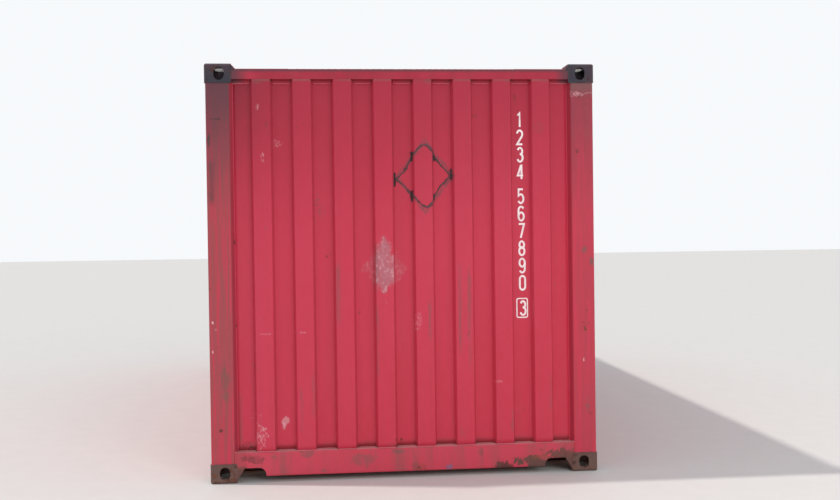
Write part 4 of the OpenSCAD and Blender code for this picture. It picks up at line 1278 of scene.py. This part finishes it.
def sealant_bead(name, paths, bead_size, material):
    """Sealant along paths on the sheet, pressed down on it."""
    radius, step, left_high = bead_size
    thing = beads(name, paths, radius, material, step, SEALANT_LUMPY)
    for corner in thing.data.vertices:
        sheet = on_sheet(corner.co.y, corner.co.z).x
        corner.co.x = sheet + (corner.co.x - sheet) * left_high


def sealant_beads():
    """Black sealant left round a plate, thick where it filled the slopes."""
    ring = []
    for spot in divided([Vector(spot) for spot in SEALANT_LINE], RING_STEP):
        shift = STRAY * noise.noise(Vector((spot.x * STRAY_TURNS, spot.y * STRAY_TURNS, STRAY_START)))
        ring.append(on_sheet(spot.x + shift, spot.y - shift))
    sealant_bead("sealant_ring", [ring], RING_BEAD, thin_sealant)
    lumps = [[on_sheet(across, low), on_sheet(across, high)] for across, low, high in SEALANT_LUMPS]
    sealant_bead("sealant_lumps", lumps, LUMP_BEAD, sealant)


sealant_beads()

# Where the sheets of a side wall and of the roof meet, in pitches from the middle
SIDE_SHEET_ENDS = (-6.5, -2.5, 2.5, 6.5)
ROOF_SHEET_ENDS = (-12.5, -7.5, -2.5, 2.5, 7.5, 12.5)
SIDE_WELD_OUT = 0.0005
ROOF_WELD_IN = 0.001


def side_seams():
    """Welds of each side wall: to its rails, and between its sheets."""
    corners = corrugation(SIDE_RECESSES, SIDE_PITCH, SIDE_FLOOR, SIDE_SLOPE, SIDE_Y, SIDE_RECESS_Y)[1:-1]
    paths = []
    for side in (-1, 1):
        for level in (SIDE_BASE, RAIL_UNDER):
            paths.append([(along, side * (depth + SIDE_WELD_OUT), level) for along, depth in corners])
        for step in SIDE_SHEET_ENDS:
            paths.append([(step * SIDE_PITCH, side * SIDE_Y, level) for level in (SIDE_BASE, RAIL_UNDER)])
    beads("side_welds", paths, SIDE_WELD, box_paint, step=LONG_WELD_STEP)


def roof_seams():
    """Welds round the roof and between its sheets, which end in the gaps between ribs."""
    side, end = roof_high.y - ROOF_WELD_IN, roof_high.x - ROOF_WELD_IN
    paths = []
    for way in (-1, 1):
        paths.append([(along, way * side, ROOF_Z) for along in (-fitting_low.x, fitting_low.x)])
        paths.append([(way * end, across, ROOF_Z) for across in (-fitting_low.y, fitting_low.y)])
    for step in ROOF_SHEET_ENDS:
        paths.append([(step * ROOF_PITCH, across, ROOF_Z) for across in (-side, side)])
    beads("roof_welds", paths, ROOF_WELD, box_paint, step=LONG_WELD_STEP)


side_seams()
roof_seams()

# Door gear, as its maker places it
HINGES = 4
HINGE_FROM_END = 0.150
HINGE_BLADE = 0.008
GUIDE_FOOT = 0.006
GUIDE_LEVELS = (0.252, 0.820, 1.550, 2.360)
ROD_FROM_EDGE = 0.170
CATCH_PLATE = 0.005
CATCHES = ((0.545, 1.110), (0.6215, 1.260))
# Places of the bolts: from the door's edge and about a hinge's middle, about a rod and about a catch
HINGE_BOLTS_IN = (0.045, 0.095)
HINGE_BOLT_RISE = 0.020
GUIDE_BOLT_SHIFT = 0.031
CATCH_BOLT_SHIFT = 0.018
HINGE_BOLT = 0.008
GUIDE_BOLT = 0.0045
CATCH_BOLT = 0.005
REARWARD = (-1, 0, 0)


def door_bolts():
    """Bolts of the hinges, of the rod guides and of the handle catches."""
    span = leaf_high.z - leaf_low.z - 2 * HINGE_FROM_END
    hinges, guides, catches = [], [], []
    for side in (-1, 1):
        for index in range(HINGES):
            level = leaf_low.z + HINGE_FROM_END + span * index / (HINGES - 1)
            for inward in HINGE_BOLTS_IN:
                for rise in (-HINGE_BOLT_RISE, HINGE_BOLT_RISE):
                    across = side * (leaf_high.y - inward)
                    hinges.append((leaf_low.x - HINGE_BLADE, across, level + rise))
        for rod in (leaf_low.y + ROD_FROM_EDGE, leaf_high.y - ROD_FROM_EDGE):
            for level in GUIDE_LEVELS:
                for shift in (-GUIDE_BOLT_SHIFT, GUIDE_BOLT_SHIFT):
                    guides.append((leaf_low.x - GUIDE_FOOT, side * (rod + shift), level))
        for catch, level in CATCHES:
            for shift in (-CATCH_BOLT_SHIFT, CATCH_BOLT_SHIFT):
                catches.append((leaf_low.x - CATCH_PLATE, side * (catch + shift), level))
    bolt_heads("hinge_bolts", hinges, REARWARD, HINGE_BOLT, box_paint)
    bolt_heads("guide_bolts", guides, REARWARD, GUIDE_BOLT, zinc)
    bolt_heads("catch_bolts", catches, REARWARD, CATCH_BOLT, zinc)


door_bolts()

VENT_RIBS = 6
VENT_RIB_PITCH = 0.024
VENT_RIB_FIRST = 0.018
VENT_RIB_OUT = 0.0002
VENT_RIB_THICK = 0.003
VENT_RIB_HIGH = 0.006
VENT_RIB_EDGE = 0.001
VENT_MARGIN = 0.006


def vent_ribs():
    """Ribs across the face of each vent hood."""
    low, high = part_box("right_vent")
    size = (high.x - low.x - 2 * VENT_MARGIN, VENT_RIB_THICK, VENT_RIB_HIGH)
    spots = []
    for side in (-1, 1):
        for index in range(VENT_RIBS):
            level = low.z + VENT_RIB_FIRST + index * VENT_RIB_PITCH
            spots.append((((low.x + high.x) / 2, side * (high.y + VENT_RIB_OUT), level), size))
    strips("vent_ribs", spots, plastic, VENT_RIB_EDGE)


vent_ribs()


def arc(middle, radius, start, end, steps=10):
    """Points on an arc round the middle, angles in degrees; the radius is a pair, across and up."""
    turns = [radians(start + (end - start) * step / steps) for step in range(steps + 1)]
    return [(middle[0] + radius[0] * cos(turn), middle[1] + radius[1] * sin(turn)) for turn in turns]


# Strokes of plain block digits in a cell one wide and one high
RIM = (0.5, 0.23)
TOP_RIM, LOW_RIM = (0.5, 0.77), (0.5, 0.23)
LOW_BOWL, LOW_RADIUS = (0.5, 0.29), (0.5, 0.29)
HIGH_BOWL, HIGH_RADIUS = (0.5, 0.75), (0.44, 0.25)
DIGITS = {
    "0": [arc(TOP_RIM, RIM, 0, 180) + arc(LOW_RIM, RIM, 180, 360) + [(1.0, 0.77)]],
    "1": [[(0.2, 0.82), (0.56, 1.0), (0.56, 0.0)]],
    "2": [arc((0.5, 0.73), (0.5, 0.27), 170, -30) + [(0.0, 0.0), (1.0, 0.0)]],
    "3": [arc(HIGH_BOWL, HIGH_RADIUS, 160, -90), arc(LOW_BOWL, LOW_RADIUS, 95, -160)],
    "4": [[(1.0, 0.26), (0.0, 0.26), (0.64, 1.0)], [(0.72, 1.04), (0.72, 0.0)]],
    "5": [[(0.92, 1.0), (0.1, 1.0), (0.05, 0.52)] + arc((0.48, 0.32), (0.52, 0.32), 130, -150)],
    "6": [arc((0.5, 0.72), (0.5, 0.28), 30, 180) + arc(LOW_BOWL, LOW_RADIUS, 180, 540, 20)],
    "7": [[(0.0, 1.0), (1.0, 1.0), (0.35, 0.0)]],
    "8": [arc(HIGH_BOWL, HIGH_RADIUS, -90, 270, 20), arc(LOW_BOWL, LOW_RADIUS, 90, 450, 20)],
    "9": [arc((0.5, 0.28), (0.5, 0.28), -150, 0) + arc((0.5, 0.71), LOW_RADIUS, 0, 360, 20)],
}

# Points closer than this are one, and a mitre reaches out no further than this many half widths
TOUCHING = 1e-6
MITRE_LIMIT = 2.0


def ribbon(path, width):
    """Flat stroke of the given width along a path, with mitred corners. Gives points and faces."""
    closed = (Vector(path[0]) - Vector(path[-1])).length < TOUCHING
    spots = []
    for spot in path[:-1] if closed else path:
        if not spots or (Vector(spot) - spots[-1]).length > TOUCHING:
            spots.append(Vector(spot))
    count = len(spots)
    points = []
    for index, spot in enumerate(spots):
        before = spots[index - 1] if closed or index else None
        after = spots[(index + 1) % count] if closed or index < count - 1 else None
        into = (spot - before).normalized() if before is not None else (after - spot).normalized()
        onto = (after - spot).normalized() if after is not None else into
        left_in, left_out = Vector((-into.y, into.x)), Vector((-onto.y, onto.x))
        mitre = (left_in + left_out) / (1 + left_in.dot(left_out))
        if mitre.length > MITRE_LIMIT:
            mitre = mitre.normalized() * MITRE_LIMIT
        points += [spot + mitre * width / 2, spot - mitre * width / 2]
    faces = []
    for index in range(count if closed else count - 1):
        here, there = 2 * index, 2 * ((index + 1) % count)
        faces.append((here, here + 1, there + 1, there))
    return points, faces


NUMERAL_HIGH = 0.100
NUMERAL_WIDE = 0.046
NUMERAL_STROKE = 0.0120
NUMERAL_PITCH = 0.1103
NUMERAL_ACROSS = 0.7555
# How far the column leans to the left for each metre up
NUMERAL_LEAN = 0.008
PAINT_FILM = 0.0006
FILM_OVERLAP = 0.3
# Each group of plain digits down the recess, and the level of its top
NUMERAL_GROUPS = [("1234", 2.292), ("567890", 1.808), ("3", 1.096)]
# The last one's frame: place across and up, half width and half height
CHECK_BOX = (0.7505, 1.047, 0.0340, 0.0600)
CHECK_BOX_LINE = 0.0075
CHECK_BOX_CORNER = 0.010


def digit_strokes():
    """Strokes of every digit, as paths of places across and up."""
    tall, wide = NUMERAL_HIGH - NUMERAL_STROKE, NUMERAL_WIDE - NUMERAL_STROKE
    strokes = []
    for digits, top in NUMERAL_GROUPS:
        for index, digit in enumerate(digits):
            base = top - index * NUMERAL_PITCH - NUMERAL_HIGH + NUMERAL_STROKE / 2
            left = NUMERAL_ACROSS - wide / 2 - NUMERAL_LEAN * (base - CHECK_BOX[1])
            for stroke in DIGITS[digit]:
                strokes.append([(left + x * wide, base + y * tall) for x, y in stroke])
    return strokes


def check_box_stroke():
    """The frame's line, with round corners and its ends joined."""
    across, up, half_wide, half_high = CHECK_BOX
    round_off = (CHECK_BOX_CORNER, CHECK_BOX_CORNER)
    line = []
    for turn, (x, y) in enumerate(((1, 1), (-1, 1), (-1, -1), (1, -1))):
        middle = (across + x * (half_wide - CHECK_BOX_CORNER), up + y * (half_high - CHECK_BOX_CORNER))
        line += arc(middle, round_off, 90 * turn, 90 * turn + 90, 4)
    return line + line[:1]


def column_of_numerals():
    """Digits down the recess right of the middle, the last one in a frame."""
    strokes = [(path, NUMERAL_STROKE) for path in digit_strokes()] + [(check_box_stroke(), CHECK_BOX_LINE)]
    points, faces = [], []
    for index, (path, width) in enumerate(strokes):
        flat, quads = ribbon(path, width)
        # Strokes that cross lie on one another, as brushed paint does
        film = PAINT_FILM * (1.0 + FILM_OVERLAP * (index % 2))
        join(points, faces, [dented(RECESS_X + film, spot.x, spot.y) for spot in flat], quads)
    numerals = piece("front_numerals", points, faces, marking)
    thickened(numerals, PAINT_FILM, 1)


column_of_numerals()

# The photograph's camera: its place, its turn left or right, up or down and round its own axis, in degrees
CAMERA_PLACE = (9.435, -0.511, 1.533)
CAMERA_TURN = 5.422
CAMERA_TILT = -0.949
CAMERA_ROLL = -0.779
CAMERA_LENS = 44.06
CAMERA_REACH = 200.0


def photo_camera():
    """The camera that took the photograph."""
    turn, tilt, roll = radians(CAMERA_TURN), radians(CAMERA_TILT), radians(CAMERA_ROLL)
    level_ahead = Vector((-cos(turn), sin(turn), 0))
    level_right = Vector((sin(turn), cos(turn), 0))
    up = Vector((0, 0, 1))
    ahead = level_ahead * cos(tilt) + up * sin(tilt)
    over = up * cos(tilt) - level_ahead * sin(tilt)
    right = level_right * cos(roll) + over * sin(roll)
    top = over * cos(roll) - level_right * sin(roll)
    data = bpy.data.cameras.new("photo_camera")
    data.lens = CAMERA_LENS
    data.clip_end = CAMERA_REACH
    camera = linked("photo_camera", data)
    turned = Matrix((right, top, -ahead)).transposed().to_4x4()
    camera.matrix_world = Matrix.Translation(CAMERA_PLACE) @ turned
    bpy.context.scene.camera = camera


def lamp(name, kind, energy, place, target=(0.0, 0.0, 0.0), colour=(1.0, 1.0, 1.0)):
    """Lamp at a place, shining on a target. Gives the lamp and its light."""
    data = bpy.data.lights.new(name, kind)
    data.energy = energy
    data.color = colour
    thing = linked(name, data)
    thing.location = place
    thing.rotation_euler = (Vector(target) - Vector(place)).to_track_quat("-Z", "Y").to_euler()
    return thing, data


# The world as it lights the object, and as the camera and reflections see it
SKY_LIGHT = (0.86, 0.89, 0.95, 1.0)
SKY_LIGHT_STRENGTH = 0.79
BACKDROP = (0.93, 0.95, 0.97, 1.0)
MIDDLE = (0.0, 0.0, 1.3)
SOFT_PLACE = (13.0, 4.5, 5.0)
SOFT_LIGHT = (1.0, 0.98, 0.95)
SUN_PLACE = (-1.2, -6.0, 10.0)
SUNLIGHT = (1.0, 0.97, 0.92)
GLOW_PLACE = (0.0, 0.0, 0.003)


def daylight():
    """Soft light all round, more of it from the front right, and a low sun behind the left."""
    world = bpy.data.worlds.new("daylight")
    world.use_nodes = True
    world.node_tree.nodes.clear()
    nodes = Nodes(world.node_tree)
    path = nodes.add("ShaderNodeLightPath").outputs
    mirrored = nodes.either(path["Is Glossy Ray"], path["Is Transmission Ray"])
    seen = nodes.either(path["Is Camera Ray"], mirrored)
    shine = nodes.add("ShaderNodeBackground", {"Color": SKY_LIGHT, "Strength": SKY_LIGHT_STRENGTH})
    backdrop = nodes.add("ShaderNodeBackground", {"Color": BACKDROP, "Strength": 1.0})
    mix = nodes.add("ShaderNodeMixShader", {0: seen, 1: shine.outputs[0], 2: backdrop.outputs[0]})
    nodes.add("ShaderNodeOutputWorld", {"Surface": mix.outputs[0]})
    bpy.context.scene.world = world
    soft, soft_light = lamp("soft_front", "AREA", 410.0, SOFT_PLACE, MIDDLE, SOFT_LIGHT)
    soft.visible_glossy = False
    soft_light.size = 5.0
    sun_light = lamp("sun_behind", "SUN", 1.7, SUN_PLACE, colour=SUNLIGHT)[1]
    sun_light.angle = radians(2.0)


def glow_below():
    """Faint light on the underside, which the floor would leave black."""
    glow, glow_light = lamp("glow_below", "AREA", 12.0, GLOW_PLACE)
    glow_light.shape = "RECTANGLE"
    glow_light.size = 5.7
    glow_light.size_y = 2.3
    glow.rotation_euler = (pi, 0.0, 0.0)
    glow.visible_camera = False


FLOOR_REACH = 60.0
FLOOR_GAP = 0.0005


def pale_floor():
    """Plain pale floor, wide enough for every view and clear from below."""
    level = cad_box[0][2] - FLOOR_GAP
    near, far = -FLOOR_REACH, FLOOR_REACH
    mesh = bpy.data.meshes.new("studio_floor")
    corners = [(near, near, level), (far, near, level), (far, far, level), (near, far, level)]
    mesh.from_pydata(corners, [], [(0, 1, 2, 3)])
    floor = linked("studio_floor", mesh)
    material, nodes = new_material("studio floor")
    speck = nodes.grain(nodes.place(), scale=6.0)
    colour = nodes.blend(speck, FLOOR_GREY, FLOOR_PALE)
    shader = nodes.add("ShaderNodeBsdfPrincipled", {"Base Color": colour, "Roughness": 0.9})
    under = nodes.add("ShaderNodeNewGeometry").outputs["Backfacing"]
    clear = nodes.add("ShaderNodeBsdfTransparent").outputs[0]
    seen = nodes.add("ShaderNodeMixShader", {0: under, 1: shader.outputs[0], 2: clear}).outputs[0]
    nodes.add("ShaderNodeOutputMaterial", {"Surface": seen})
    mesh.materials.append(material)


photo_camera()
daylight()
glow_below()
pale_floor()
bpy.context.scene.view_settings.view_transform = "Standard"
